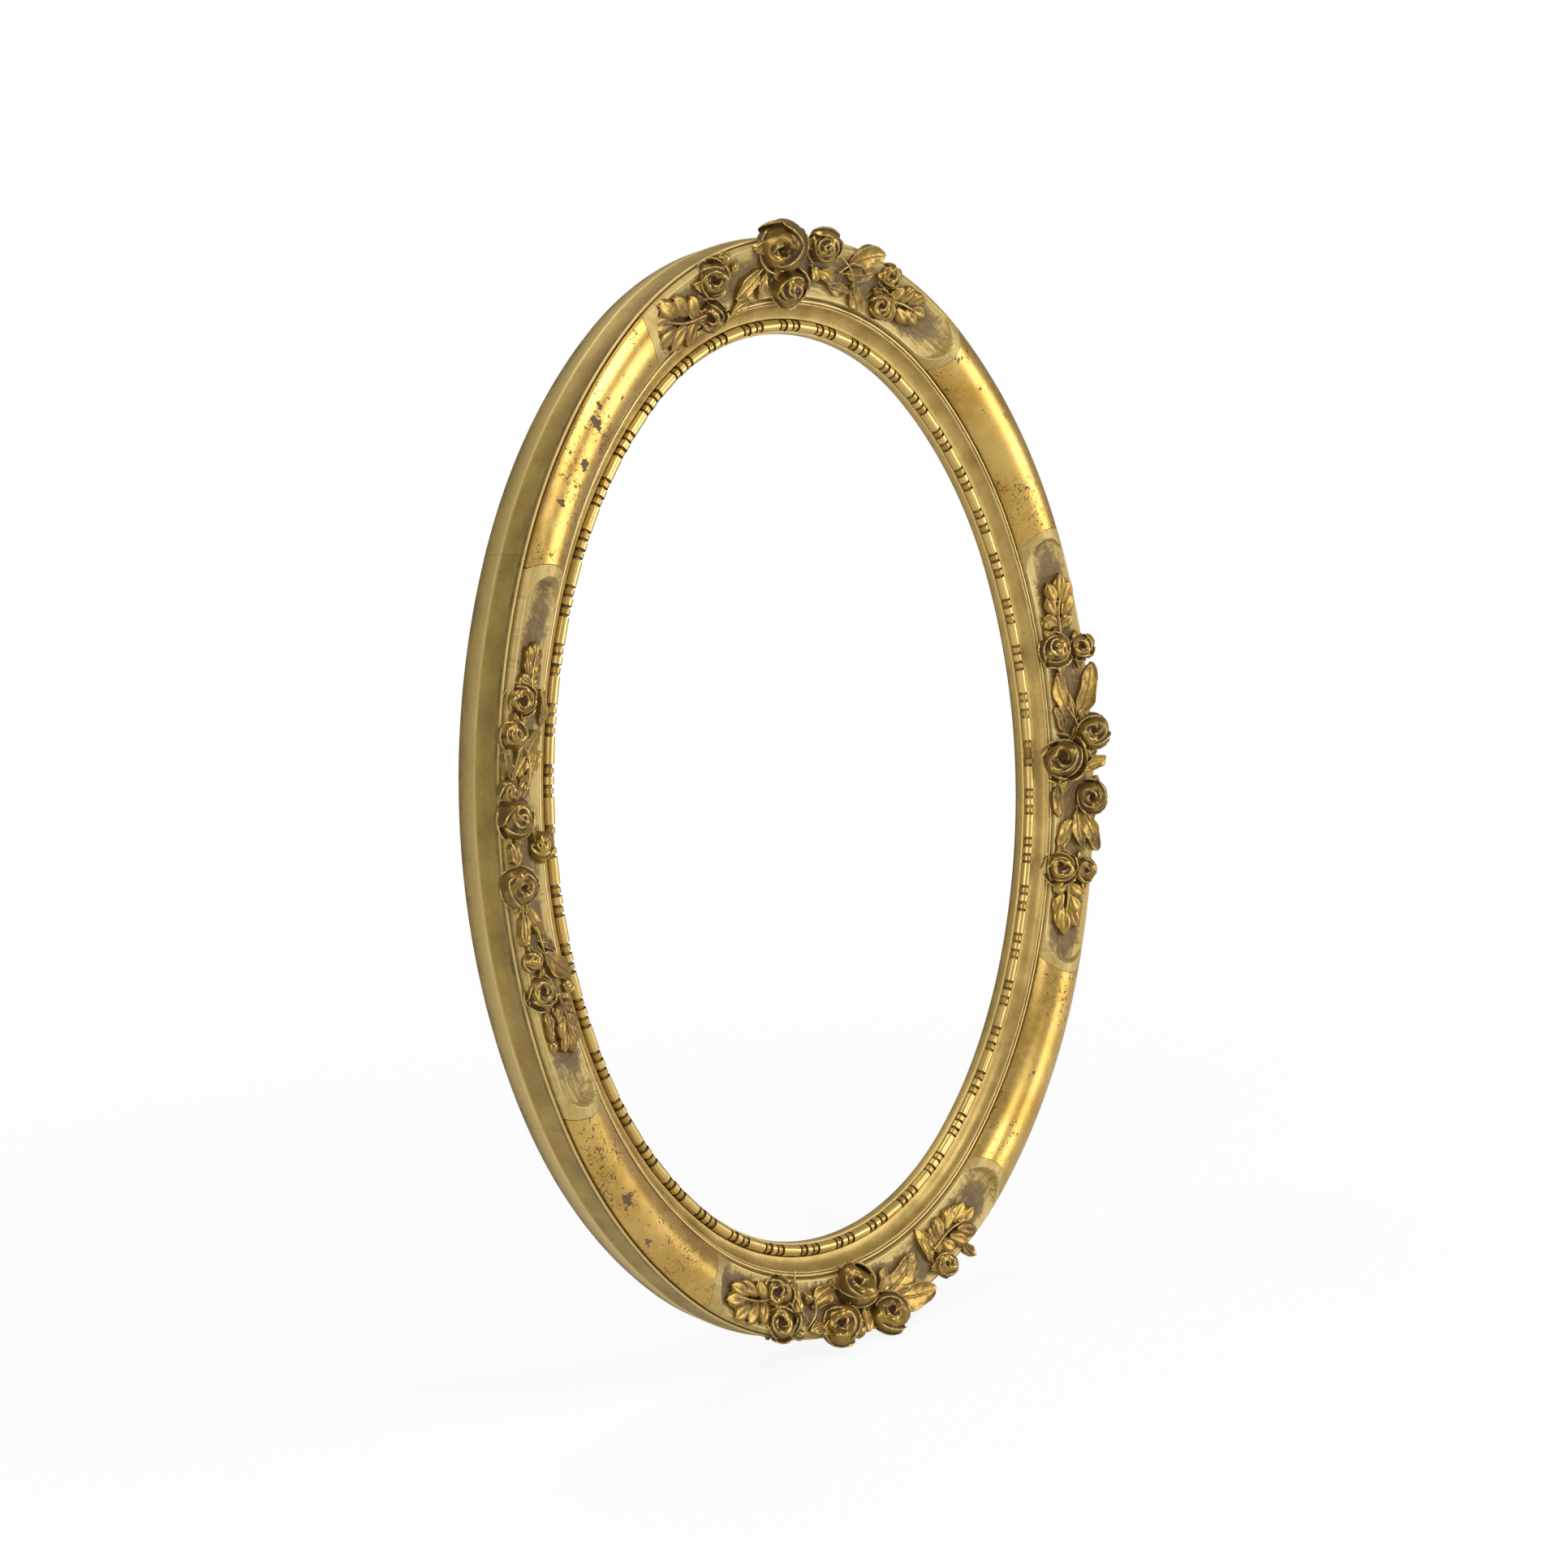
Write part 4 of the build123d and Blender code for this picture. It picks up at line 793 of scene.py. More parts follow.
# WEB_GRIME_AND_SHADE is how much painted shade and dust darken the web between the beads
WEB_RISE, WEB_ROUNDING, WEB_GRIME_AND_SHADE = 1.5, 1.2, 0.6
BEAD_SIDES = 14
PITCH = OVAL_LENGTH / PITCHES
REEL, BALL, DISC = (PITCH * share for share in (REEL_SHARE, BALL_SHARE, DISC_SHARE))
BEAD_GAP = (PITCH - REEL - BALL - DISC * 2) / 4


def lathe(name, outline):
    """A bead turned about X from (x, radius) points in millimetres, closed at both ends."""
    x, radii = np.repeat(outline, BEAD_SIDES, axis=0).T
    turn = np.tile(np.linspace(0, 2 * np.pi, BEAD_SIDES, endpoint=False), len(outline))
    points = np.stack([x, radii * np.cos(turn), radii * np.sin(turn)], 1) * MM
    piece = new_mesh(name, points, ring_faces(len(outline), BEAD_SIDES))
    # Bead ends get painted shade with dust where they narrow, and bead crests get painted highlight with wear
    set_mask(piece, "hollow", np.clip((BEAD_END_RADIUS + 0.45 - radii) / 0.4, 0, 1))
    set_mask(piece, "ridge", np.clip((radii - BEAD_RADIUS + 0.25) / 0.25, 0, 1) * 0.45)
    finish_faces(piece)
    return piece


def domed(length, radius, dome):
    """Outline of a bead with rounded ends."""
    half = length / 2
    turn = np.linspace(0, np.pi / 2, 4)
    left = [(-half + dome * (1 - math.sin(t)), BEAD_END_RADIUS + (radius - BEAD_END_RADIUS) * math.sin(t))
            for t in turn]
    return left + [(-x, r) for x, r in reversed(left)]


def bead_tree():
    """Instances the small beads on the places of one strip."""
    tree = bpy.data.node_groups.new("bead_and_reel", "GeometryNodeTree")
    for title, kind in (("Curve", "Geometry"), ("Bead", "Object"), ("Material", "Material")):
        tree.interface.new_socket(title, in_out="INPUT", socket_type="NodeSocket" + kind)
    tree.interface.new_socket("Beads", in_out="OUTPUT", socket_type="NodeSocketGeometry")
    n = Nodes(tree)
    given = n.add("NodeGroupInput").outputs
    bead = n.add("GeometryNodeObjectInfo", {"Object": given["Bead"]}).outputs["Geometry"]
    along = n.add("GeometryNodeInputNamedAttribute", {"Name": "along"}, data_type="FLOAT_VECTOR")
    aim = n.add("FunctionNodeAlignRotationToVector", {"Vector": along.outputs["Attribute"]}, axis="X")
    stand = n.add("FunctionNodeAlignRotationToVector", {"Rotation": aim, "Vector": (0, -1, 0)},
                  axis="Z", pivot_axis="X")
    placed = n.add("GeometryNodeInstanceOnPoints",
                   {"Points": given["Curve"], "Instance": bead, "Rotation": stand})
    real = n.add("GeometryNodeRealizeInstances", {"Geometry": placed})
    cover = n.add("GeometryNodeSetMaterial", {"Geometry": real, "Material": given["Material"]})
    n.add("NodeGroupOutput", {"Beads": cover})
    return tree


def evaluated_mesh(piece):
    return bpy.data.meshes.new_from_object(piece.evaluated_get(bpy.context.evaluated_depsgraph_get()))


def repeated(tree, name, lengths, bead):
    """A plain mesh of one bead repeated at lengths along the bead line."""
    angles = angle_at(lengths)
    seats = new_mesh(name, frame_points(angles, 0, BEAD_FLOOR + BEAD_AXIS_HEIGHT), [])
    layer = seats.data.attributes.new("along", "FLOAT_VECTOR", "POINT")
    radians = np.radians(angles)
    layer.data.foreach_set("vector", np.stack([np.cos(radians), 0 * radians, -np.sin(radians)], 1).ravel())
    modifier = seats.modifiers.new("beads", "NODES")
    modifier.node_group = tree
    sockets = {item.name: item.identifier for item in tree.interface.items_tree if item.in_out == "INPUT"}
    modifier[sockets["Bead"]] = bead
    modifier[sockets["Material"]] = BEAD_GOLD
    mesh = evaluated_mesh(seats)
    seats.modifiers.remove(modifier)
    seats.data = mesh
    return seats


def joined(name, pieces, material):
    bm = bmesh.new()
    for piece in pieces:
        bm.from_mesh(piece.data)
        bpy.data.objects.remove(piece)
    mesh = bpy.data.meshes.new(name)
    bm.to_mesh(mesh)
    bm.free()
    mesh.polygons.foreach_set("material_index", [0] * len(mesh.polygons))
    mesh.materials.append(material)
    return add_object(name, mesh)


def build_beads():
    reel = lathe("reel", domed(REEL, BEAD_RADIUS, 1.2))
    ball = lathe("ball", domed(BALL, BEAD_RADIUS, BALL / 2))
    disc = lathe("disc", domed(DISC, DISC_RADIUS, DISC / 3))
    tree = bead_tree()
    quarter = OVAL_LENGTH / 4
    beside_reel = (PITCH - REEL - BEAD_GAP) / 2
    joints = [beside_reel, quarter, quarter * 2 + beside_reel, quarter * 3, quarter * 4 + beside_reel]
    shift = (BALL / 2 + BEAD_GAP + DISC / 2) / PITCH
    width = math.sqrt((BEAD_END_RADIUS - 0.1) ** 2 - BEAD_AXIS_HEIGHT ** 2)
    crest = BEAD_FLOOR + BEAD_AXIS_HEIGHT + WEB_RISE
    web = eased([(-width, BEAD_FLOOR, 0), (width, BEAD_FLOOR, 0), (width, crest, WEB_ROUNDING),
                 (-width, crest, WEB_ROUNDING)], 0.2)
    numbers = np.arange(-1, PITCHES * 2)
    for name, start, end in zip(QUARTERS, joints, joints[1:]):
        groups = []
        for bead, places in ((reel, numbers + 0.5), (ball, numbers),
                             (disc, numbers - shift), (disc, numbers + shift)):
            lengths = places * PITCH
            keep = (lengths > start + 0.5) & (lengths < end - 0.5)
            if bead is ball:
                keep &= (numbers % (PITCHES // 2)) != PITCHES // 4
            groups.append(repeated(tree, name + "_beads", lengths[keep], bead))
        groups.append(moulding(name + "_web", web, angle_at(start), angle_at(end), WEB_STEPS, [BEAD_GOLD]))
        # The web between the beads is darkened all over with painted shade and dust
        set_mask(groups[-1], "hollow", [WEB_GRIME_AND_SHADE] * len(groups[-1].data.vertices))
        ride(joined("gilt_beads_" + name, groups, BEAD_GOLD), "frame", "bead_gold", "bead_strip_" + name)
    for source in (reel, ball, disc):
        bpy.data.objects.remove(source)


# Flowers. Places are along and across a panel in millimetres. A flower has its radius and its leans in
# degrees, along and outward.

ROSES = {
    "top": [(-74.4, 8.2, 9.1, -29, 6, "open"), (-76.5, -11.1, 7.9, -49, 2, "open"),
            (-63.4, 14.7, 3.7, -27, 6, "bud"), (-21.2, 14.1, 13.1, -37, -10, "ball"),
            (10.7, 14.3, 9.5, -26, -8, "folded"), (-11.3, -8.8, 10.3, -25, -4, "folded"),
            (65.3, 10.7, 6.2, -22, 0, "open"), (66.6, -5.5, 7.6, -20, -11, "open"),
            (-55.8, 7.2, 2.9, -30, 3, "bud")],
    "right": [(-61.6, -8.4, 10.3, -20, -13, "folded"), (-59.8, 12.4, 7.9, -17, -23, "open"),
              (-8, 13.3, 10.4, -16, -21, "ball"), (5.5, -9.1, 13.3, -6, -34, "open"),
              (30, 11.4, 9.9, 0, -26, "ball"), (74.3, -9.7, 9.9, -6, -25, "open"),
              (73.8, 8.1, 7.4, 3, -15, "ball"), (-79.4, -9.1, 3.4, -11, -30, "bud")],
    "bottom": [(74.3, -5.3, 9.1, 36, 1, "open"), (71.5, 9.1, 9.5, 38, 12, "open"),
               (24.6, 12.2, 11.1, 39, -11, "ball"), (7, -4.9, 12.1, 22, -24, "ball"),
               (-12, 15.6, 11.3, 23, -18, "ball"), (-64, 13, 7, 18, -14, "ball"),
               (57.1, 15.1, 3, 35, -1, "bud"), (12, 18, 4, 35, -19, "bud"), (47, -4.7, 3.1, 35, -2, "bud")],
    "left": [(70.5, 8.4, 7.6, -7, 37, "open"), (54, 14.4, 7.2, -1, 37, "bud"),
             (16.5, 13.4, 9.9, -1, 27, "folded"), (28.8, 16.6, 6.1, -13, 26, "bud"),
             (0.2, -10.3, 6.6, 10, 40, "folded"), (-15.1, 14, 9.5, 1, 26, "ball"),
             (-51, 10.5, 5.4, 9, 33, "bud"), (-67.5, 9.3, 7.7, 12, 30, "open"),
             (-94.3, 9.6, 2.7, 14, 35, "bud"), (-73.8, -16, 3.9, 20, 32, "bud")],
}

# Rings of petals in a flower of radius 1: petals, radius, half width and rim height in degrees, flare
PETAL_RINGS = {
    "open": [(5, 0.98, 40, 4, 0.20), (3, 0.88, 62, 34, 0.10), (1, 0.84, 95, 50, 0.06)],
    "ball": [(3, 1.00, 58, 10, 0.10), (2, 1.00, 74, 38, 0.09), (1, 0.95, 105, 52, 0.06)],
    "folded": [(3, 0.98, 60, 16, 0.13), (2, 0.92, 92, 48, 0.08)],
    "bud": [(2, 0.98, 84, 30, 0.07), (1, 0.92, 90, 60, 0.04)],
}
CUP_SHARES = {
    "ball": [(0, -0.35), (0.72, -0.35), (0.90, 0), (0.97, 0.35), (0.91, 0.70), (0.78, 0.93), (0.64, 1.04),
             (0.51, 1.09), (0.40, 1.06), (0.30, 0.98), (0.23, 0.86), (0.15, 0.74), (0, 0.68)],
    "open": [(0, -0.35), (0.66, -0.35), (0.80, 0), (0.83, 0.40), (0.76, 0.74), (0.66, 0.92), (0.54, 1.00),
             (0.44, 0.98), (0.36, 0.86), (0.28, 0.73), (0.18, 0.62), (0, 0.58)],
}
HEART_SHARES = [(0, -0.35), (0.72, -0.35), (0.88, 0.05), (0.90, 0.45), (0.78, 0.82), (0.52, 1.08),
                (0.25, 1.20), (0, 1.24)]
# Height of a mouth's rolled edges, the radius where they start inside it, and how far they wind out
MOUTHS = {"ball": (1.07, 0.20, 0.30), "open": (0.95, 0.22, 0.45)}
FLOWER_CENTRE = 0.30
FLOWER_HEIGHT_SHARE = 0.90
PETAL_THICK = 0.12

# Leaves: along, across, length, width, heading in degrees from clockwise towards outward
LEAVES = {
    "top": [(-35.1, 1.1, 22.5, 7.2, -150), (-30.4, -0.4, 14.5, 4.6, -111), (-42.9, -13.5, 15.9, 3.8, -169),
            (33.9, 6.4, 27.4, 6.8, 25), (33.9, 2, 20.1, 6.1, 16), (40.9, -2.7, 16.8, 6.8, -46),
            (39.8, -7.5, 17.9, 5.3, 180), (13.2, 0.3, 12.3, 5.3, -25), (-85.2, -11.8, 17.3, 4.6, 128),
            (6.3, 1.5, 8.4, 4.6, -48)],
    "right": [(-19.3, 4.8, 33.4, 5.7, 159), (-20, -0, 29.1, 8, -160), (-10.9, -7, 17.1, 5.3, -159),
              (43.7, -2.3, 21, 6.8, -28), (37.7, 1.2, 21.9, 6.8, 9), (37.8, 4.9, 27.7, 5.7, 26),
              (22.3, -13.4, 19.5, 3.8, 4), (12.4, 7.5, 16.2, 6.1, 111), (4.6, 7.9, 8.3, 4.6, 113),
              (-72, -5.4, 10.9, 3.8, 140)],
    "bottom": [(-13.6, 5.4, 35.4, 9.1, -160), (-11.6, 3.8, 14.9, 6.1, -121), (-17.8, 8, 37.2, 6.8, 167),
               (57.1, -13.7, 22.1, 6.1, 84), (23, -7.4, 23.1, 8.3, 15), (36.5, 10.8, 13.8, 5.3, 10),
               (-57.6, 5.7, 21.1, 6.8, -89), (-65.8, 7.4, 18.1, 4.6, -93), (3.9, 7.3, 12.6, 6.1, 78),
               (-82.1, 11, 12, 4.6, 103)],
    "left": [(35.6, 10.3, 30.3, 6.1, -46), (34.6, -2.1, 15.8, 5.3, -37), (33.4, 11.8, 16, 3.8, 35),
             (28.8, 7.2, 9.4, 5.3, -45), (60.2, -13.1, 17.8, 5.3, 10), (-26.1, 7.3, 18.7, 4.6, -147),
             (-28.2, 11.1, 15.7, 6.1, 169), (-45.2, -1.3, 11.8, 3.8, -124), (-77.1, 7.8, 15, 4.2, 170),
             (-78.6, 1.6, 14.5, 4.2, -167), (-52, -2, 25.9, 3.8, -133), (4.8, 15.1, 10.8, 6.1, -170)],
}
# Loose stems that lie over the leaves: along, across, length, heading and how far they bow aside
STEMS = {"top": [(21, 11, 28, -42, 3), (33, 8, 14, -10, 1.5)],
         "right": [(-34, -2, 26, 12, -2)],
         "bottom": [(62, -9, 22, 125, -3), (44, -4, 18, 60, 2)],
         "left": [(48, 2, 24, 172, 2), (-36, 4, 20, -165, -2)]}
# Flowers larger than this have leaves under them, a little nearer the panel's middle than the flower
SEPAL_FLOWER_SIZE = 5.0
SEPAL_ACROSS_SHARE = 0.85
# Lobed sprigs at both ends of a spray: along, across, length and heading in degrees
SPRIGS = {
    "top": [(-90, -6.8, 38.7, 160), (72.4, -1.4, 29.7, 11)],
    "right": [(-76.2, -2, 32.4, 166), (82.9, -4.4, 32, 4)],
    "bottom": [(83.6, -0.7, 33.6, 8), (-69.2, -0.3, 33.7, 177)],
    "left": [(78, 2.4, 21.8, -4), (-79.4, -4.9, 26.6, -178)],
}
# Lobes of a sprig: place along and across it, heading, and length, as shares of its length
SPRIG_LOBES = [(0.0, 0.0, -58, 0.36), (0.02, 0.02, 60, 0.38), (0.22, -0.07, -34, 0.42), (0.22, 0.08, 36, 0.42),
               (0.44, -0.08, -22, 0.44), (0.44, 0.09, 26, 0.44), (0.54, 0.0, 2, 0.46)]
SPRIG_LOBE_WIDTH = 0.26
# Voxel size and share of dust and painted shade in the hollows for each kind of cast skin
CASTS = {"roses": (0.5, 1.0), "leaves": (0.42, 0.6), "sprigs": (0.4, 1.0)}
# Smoothing steps that find a skin's fine and its broad hollows
FINE_STEPS, BROAD_STEPS = 2, 14
FLOWER_SEED = 41
STEM_HEIGHT, STEM_ARCH, STEM_RADIUS, STEM_TAPER = 2.6, 1.6, 0.75, 0.25
TWIG_HEIGHT, TWIG_RADIUS, TWIG_TAPER = 2.6, 1.1, 0.6


def spot(side, along, across):
    """A place on a side's panel, and the directions along, across and out of it."""
    turn = math.radians(SIDES[side]) + along / MIDDLE_RADIUS[side]
    clockwise = np.array([math.cos(turn), 0, -math.sin(turn)])
    outward = np.array([math.sin(turn), 0, math.cos(turn)])
    forward = np.array([0, -1.0, 0])
    c, s = math.cos(PAN_TILT), math.sin(PAN_TILT)
    axes = np.stack([clockwise, outward * c + forward * s, forward * c - outward * s])
    return on_panel(side, along, across, 0.0), axes


def turned(points, about_x=0.0, about_y=0.0, about_z=0.0):
    points = np.array(points, float)
    for angle, i, j in ((about_z, 0, 1), (about_y, 2, 0), (about_x, 1, 2)):
        c, s = math.cos(math.radians(angle)), math.sin(math.radians(angle))
        a, b = points[..., i].copy(), points[..., j].copy()
        points[..., i], points[..., j] = a * c - b * s, a * s + b * c
    return points


# Waves round a pressed rim, outward and upward: size, count and which random phase
RIM_BULGES = ((0.08, 2, 0), (0.06, 3, 1), (0.03, 5, 2))
RIM_LIFTS = ((0.08, 2, 2), (0.04, 4, 1))


def solid_turned(shares, chance, sides=40, uneven=1.0):
    """A turned cup whose rim is uneven and a little off its centre, as if pressed by hand."""
    turn = np.linspace(0, 2 * np.pi, sides, endpoint=False)
    waves = [chance.uniform(0, 6.28) for _ in range(4)]
    bulge, lift = (sum(size * np.sin(count * turn + waves[i]) for size, count, i in ripples)
                   for ripples in (RIM_BULGES, RIM_LIFTS))
    rings = []
    for r, z in shares:
        grip = min(max((z - 0.1) / 0.7, 0), 1) * uneven
        reach = max(r, 0.004) * (1 + grip * bulge * (2.2 if r < 0.6 else 1))
        x, y = (reach * f(turn) + 0.07 * grip * f(waves[3]) for f in (np.cos, np.sin))
        rings.append(np.stack([x, y, z + grip * lift], 1))
    return np.concatenate(rings), ring_faces(len(shares), sides)


def sepals(size, chance):
    """Short pointed leaves that lie along the panel under a flower."""
    parts = []
    for heading in (0, 180):
        points, faces = leaf(size * chance.uniform(1.4, 1.7), size * 0.5, chance)[0]
        parts.append((turned(points, about_z=heading + chance.uniform(-28, 28)), faces))
    return parts


def petal(azimuth, radius, half_width, rim, flare, thick, chance):
    """A curved petal round a flower of radius 1. u runs round the flower, v from the foot to the rim."""
    u, v = np.linspace(-1, 1, 17)[None, :], np.linspace(0, 1, 13)[:, None]
    top = rim - 16 * np.abs(u) ** 2.5 + chance.uniform(-3, 3) * u
    elevation = np.radians(-38 + (top + 38) * v)
    azimuths = np.radians(azimuth + half_width * u * (1 - 0.12 * v ** 3))
    reach = radius * (1 + 0.055 * u + 0.018 * np.sin(3.1 * u + chance.uniform(0, 6))) + flare * v ** 4
    swell = thick * (0.55 + 0.55 * np.exp(-((1 - v) / 0.14) ** 2))
    swell = swell * np.sqrt(np.clip(1.02 - np.abs(u) ** 7, 0.05, 1))
    sheets = []
    for r in (reach + swell / 2, reach - swell / 2):
        flat, z = r * np.cos(elevation), FLOWER_CENTRE + r * np.sin(elevation)
        sheets.append(np.stack([flat * np.cos(azimuths), flat * np.sin(azimuths), z], -1))
    return solid_sheet(*sheets)


def rose(kind, size, chance):
    """A cupped flower: rings of overlapping petals round a hollow or closed heart."""
    parts = [solid_turned(CUP_SHARES.get(kind, HEART_SHARES), chance)]
    thick = max(PETAL_THICK, 0.95 / size)
    for count, radius, half_width, rim, flare in PETAL_RINGS[kind]:
        start = chance.uniform(0, 360)
        for i in range(count):
            azimuth = start + 360 / count * (i + chance.uniform(-0.08, 0.08))
            parts.append(petal(azimuth, radius, half_width, rim + chance.uniform(-5, 5), flare, thick, chance))
    if kind in CUP_SHARES:
        parts += lips(size, *MOUTHS[kind], chance)
    else:
        parts.append(scroll(size, chance))
    return [(points * size * (1, 1, FLOWER_HEIGHT_SHARE), faces) for points, faces in parts]


def tube(places, radii, sides=8):
    """A round twig through places, with a radius at each."""
    places, radii = np.array(places, float), np.asarray(radii, float)
    way = np.gradient(places, axis=0)
    way /= np.linalg.norm(way, axis=1)[:, None]
    aside = np.cross(way, [0, 0, 1.0])
    aside /= np.linalg.norm(aside, axis=1)[:, None] + 1e-9
    upward = np.cross(aside, way)
    turn = np.linspace(0, 2 * np.pi, sides, endpoint=False)[None, :, None]
    round_it = aside[:, None] * np.cos(turn) + upward[:, None] * np.sin(turn)
    rings = places[:, None] + radii[:, None, None] * round_it
    return rings.reshape(-1, 3), ring_faces(len(places), sides)


def lips(size, high, inner, spread, chance):
    """The rolled edges of three petals. Each winds from inside the mouth out over the next one."""
    run = np.linspace(0, 1, 26)
    start = chance.uniform(0, 6.28)
    edges = []
    for i in range(3):
        turn = start + (i / 3 + chance.uniform(-0.04, 0.04)) * 2 * np.pi + run * chance.uniform(3.3, 4.0)
        reach = inner + spread * chance.uniform(0.9, 1.1) * run ** 1.1
        height = high + 0.03 - 0.05 * i - 0.30 * run ** 1.8 - 0.30 * (1 - np.minimum(run / 0.35, 1)) ** 1.5
        places = np.stack([reach * np.cos(turn), reach * np.sin(turn), height], 1)
        edges.append(tube(places, max(0.10, 0.62 / size) * (1.1 - 0.55 * run)))
    return edges


def scroll(size, chance):
    """The folded edge of a closed heart: a curl that winds in on top of it."""
    run = np.linspace(0, 1, 26)
    turn = chance.uniform(0, 6.28) + run * 1.55 * 2 * np.pi
    reach = 0.70 - 0.52 * run
    height = np.interp(reach, [0, 0.25, 0.52, 0.78], [1.24, 1.20, 1.08, 0.82]) + 0.02
    places = np.stack([reach * np.cos(turn), reach * np.sin(turn) * 0.85, height], 1)
    return tube(places, np.full(26, max(0.085, 0.55 / size)))


LEAF_HALF_WIDTH_SHARE = 0.20
# Height where leaves and lobes end, inside the panel's floor
SHEET_FOOT = -PAN_HOLLOW - 0.3


def leaf(length, width, chance):
    """A leaf with a raised rib that runs on as its stalk, a waved edge that curls up, and a lifted tip.
    s runs along it from the stalk, t across it."""
    s, t = np.linspace(0, 1, 31)[:, None], np.linspace(-1, 1, 19)[None, :]
    form = s ** 0.55 * (1 - s) ** 0.62
    waves = [chance.uniform(0, 6.28) for _ in range(3)]
    half = max(width * 0.66, length * LEAF_HALF_WIDTH_SHARE) * form / form.max() + 0.15
    wave = np.sin(2 * np.pi * 1.7 * s + np.where(t < 0, waves[0], waves[1]))
    half = half * (1 + 0.10 * wave * np.clip(s * 4, 0, 1))
    bend = chance.uniform(-0.12, 0.12) * length
    x = length * (s + 0.03 * np.sin(2 * np.pi * s + waves[2]) * t)
    y = t * half + bend * np.sin(np.pi * s)
    curl = 0.8 + 0.5 * np.sin(2 * np.pi * 1.3 * s + np.where(t < 0, waves[1], waves[2]))
    rise = 1.0 + curl * np.abs(t) ** 3.0 + 1.1 * s ** 3 + np.sin(np.pi * s)
    ribs = 0.07 * np.sin(2 * np.pi * (length / 7 * s - 0.6 * np.abs(t))) * np.clip(np.abs(t) * 3 - 0.4, 0, 1)
    z = (rise + ribs) * np.clip(0.55 + 5 * s, 0, 1)
    blade = solid_over(x, y, z, SHEET_FOOT)
    run = np.linspace(-0.28, 0.92, 24)
    side = bend * np.sin(np.pi * run)
    lift = np.where(run < 0, 0.9, 1.0 + 1.1 * run ** 3 + np.sin(np.pi * np.clip(run, 0, 1)))
    radii = max(0.5, width * 0.075) * (1.15 - 0.65 * np.clip(run, 0, 1))
    return [blade, tube(np.stack([run * length, side, lift], 1), radii)]


def lobe(length, width, chance):
    """A thick petal of a sprig: narrow at its foot, broad and rolled at its tip, with a groove along it.
    s runs along it from the foot, t across it."""
    s, t = np.linspace(0, 1, 25)[:, None], np.linspace(-1, 1, 17)[None, :]
    half = width / 2 * (0.42 + 0.66 * np.sin(np.pi * (0.02 + 0.80 * s)) ** 1.2)
    half = half * np.sqrt(np.clip(1.02 - s ** 9, 0.03, 1))
    bend = chance.uniform(-0.16, 0.16) * length
    x = length * s * (1 - 0.07 * t ** 2)
    y = t * half + bend * s ** 2
    height = 2.2 + 1.5 * np.sin(np.pi * (0.1 + 0.8 * s)) + chance.uniform(-0.3, 0.7) * s
    groove = 0.9 * np.exp(-((t - chance.uniform(-0.25, 0.25)) / 0.42) ** 2)
    groove = groove * np.clip(s * 2.2, 0, 1) * (1 - 0.55 * s)
    z = (height - groove) * (1 - 0.45 * np.abs(t) ** 3.0)
    return solid_over(x, y, z, SHEET_FOOT)


def seated(side, along, across, parts, lean_along=0.0, lean_out=0.0, heading=0.0):
    """Parts made flat at the origin, turned and moved to their place on a panel."""
    origin, axes = spot(side, along, across)
    placed = []
    for points, faces in parts:
        points = turned(turned(points, about_z=heading), about_x=-lean_out, about_y=lean_along)
        placed.append((origin / MM + points @ axes, faces))
    return placed


def smoothed(points, edges, degree, steps):
    """Points moved to the mean of their neighbours, as many times as there are steps."""
    a, b = edges[:, 0], edges[:, 1]
    for _ in range(steps):
        sums = [np.bincount(a, points[b, k], len(points)) + np.bincount(b, points[a, k], len(points))
                for k in range(3)]
        points = np.stack(sums, 1) / degree[:, None]
    return points


def gathered(parts):
    """One list of points and one of faces for several parts."""
    points, faces, first = [], [], 0
    for its_points, its_faces in parts:
        points.append(its_points)
        faces += [tuple(i + first for i in face) for face in its_faces]
        first += len(its_points)
    return np.concatenate(points), faces


def read_array(collection, field, width, kind=float):
    values = np.empty(len(collection) * width, kind)
    collection.foreach_get(field, values)
    return values.reshape(-1, width)


def cast(name, parts, voxel, dust_and_shade_share):
    """Melts overlapping closed parts into one skin, and marks its hollows for dust and painted shade and its
    ridges for wear and painted highlight.
    """
    points, faces = gathered(parts)
    skin = new_mesh(name, points * MM, faces)
    modifier = skin.modifiers.new("melt", "REMESH")
    modifier.mode = "VOXEL"
    modifier.voxel_size = voxel * MM * 1
    modifier.use_smooth_shade = True
    mesh = evaluated_mesh(skin)
    skin.modifiers.remove(modifier)
    skin.data = mesh
    places, edges = read_array(mesh.vertices, "co", 3), read_array(mesh.edges, "vertices", 2, int)
    degree = np.maximum(np.bincount(edges.ravel(), minlength=len(places)), 1)
    places = (places + smoothed(places, edges, degree, 1)) / 2
    mesh.vertices.foreach_set("co", places.ravel())
    mesh.update()
    normals = read_array(mesh.vertices, "normal", 3)
    fine, broad = (((smoothed(places, edges, degree, steps) - places) * normals).sum(1) / MM
                   for steps in (FINE_STEPS, BROAD_STEPS))
    # Hollows are darkened with painted shade and dust, convex ridges brightened with painted highlight and wear
    set_mask(skin, "hollow", np.clip((broad * 2.2 + fine * 5) * dust_and_shade_share, 0, 1))
    set_mask(skin, "ridge", np.clip(-broad - fine * 5 - 0.45, 0, 1) * 0.85)
    mesh.materials.clear()
    mesh.materials.append(FLOWER_GOLD)
    return skin


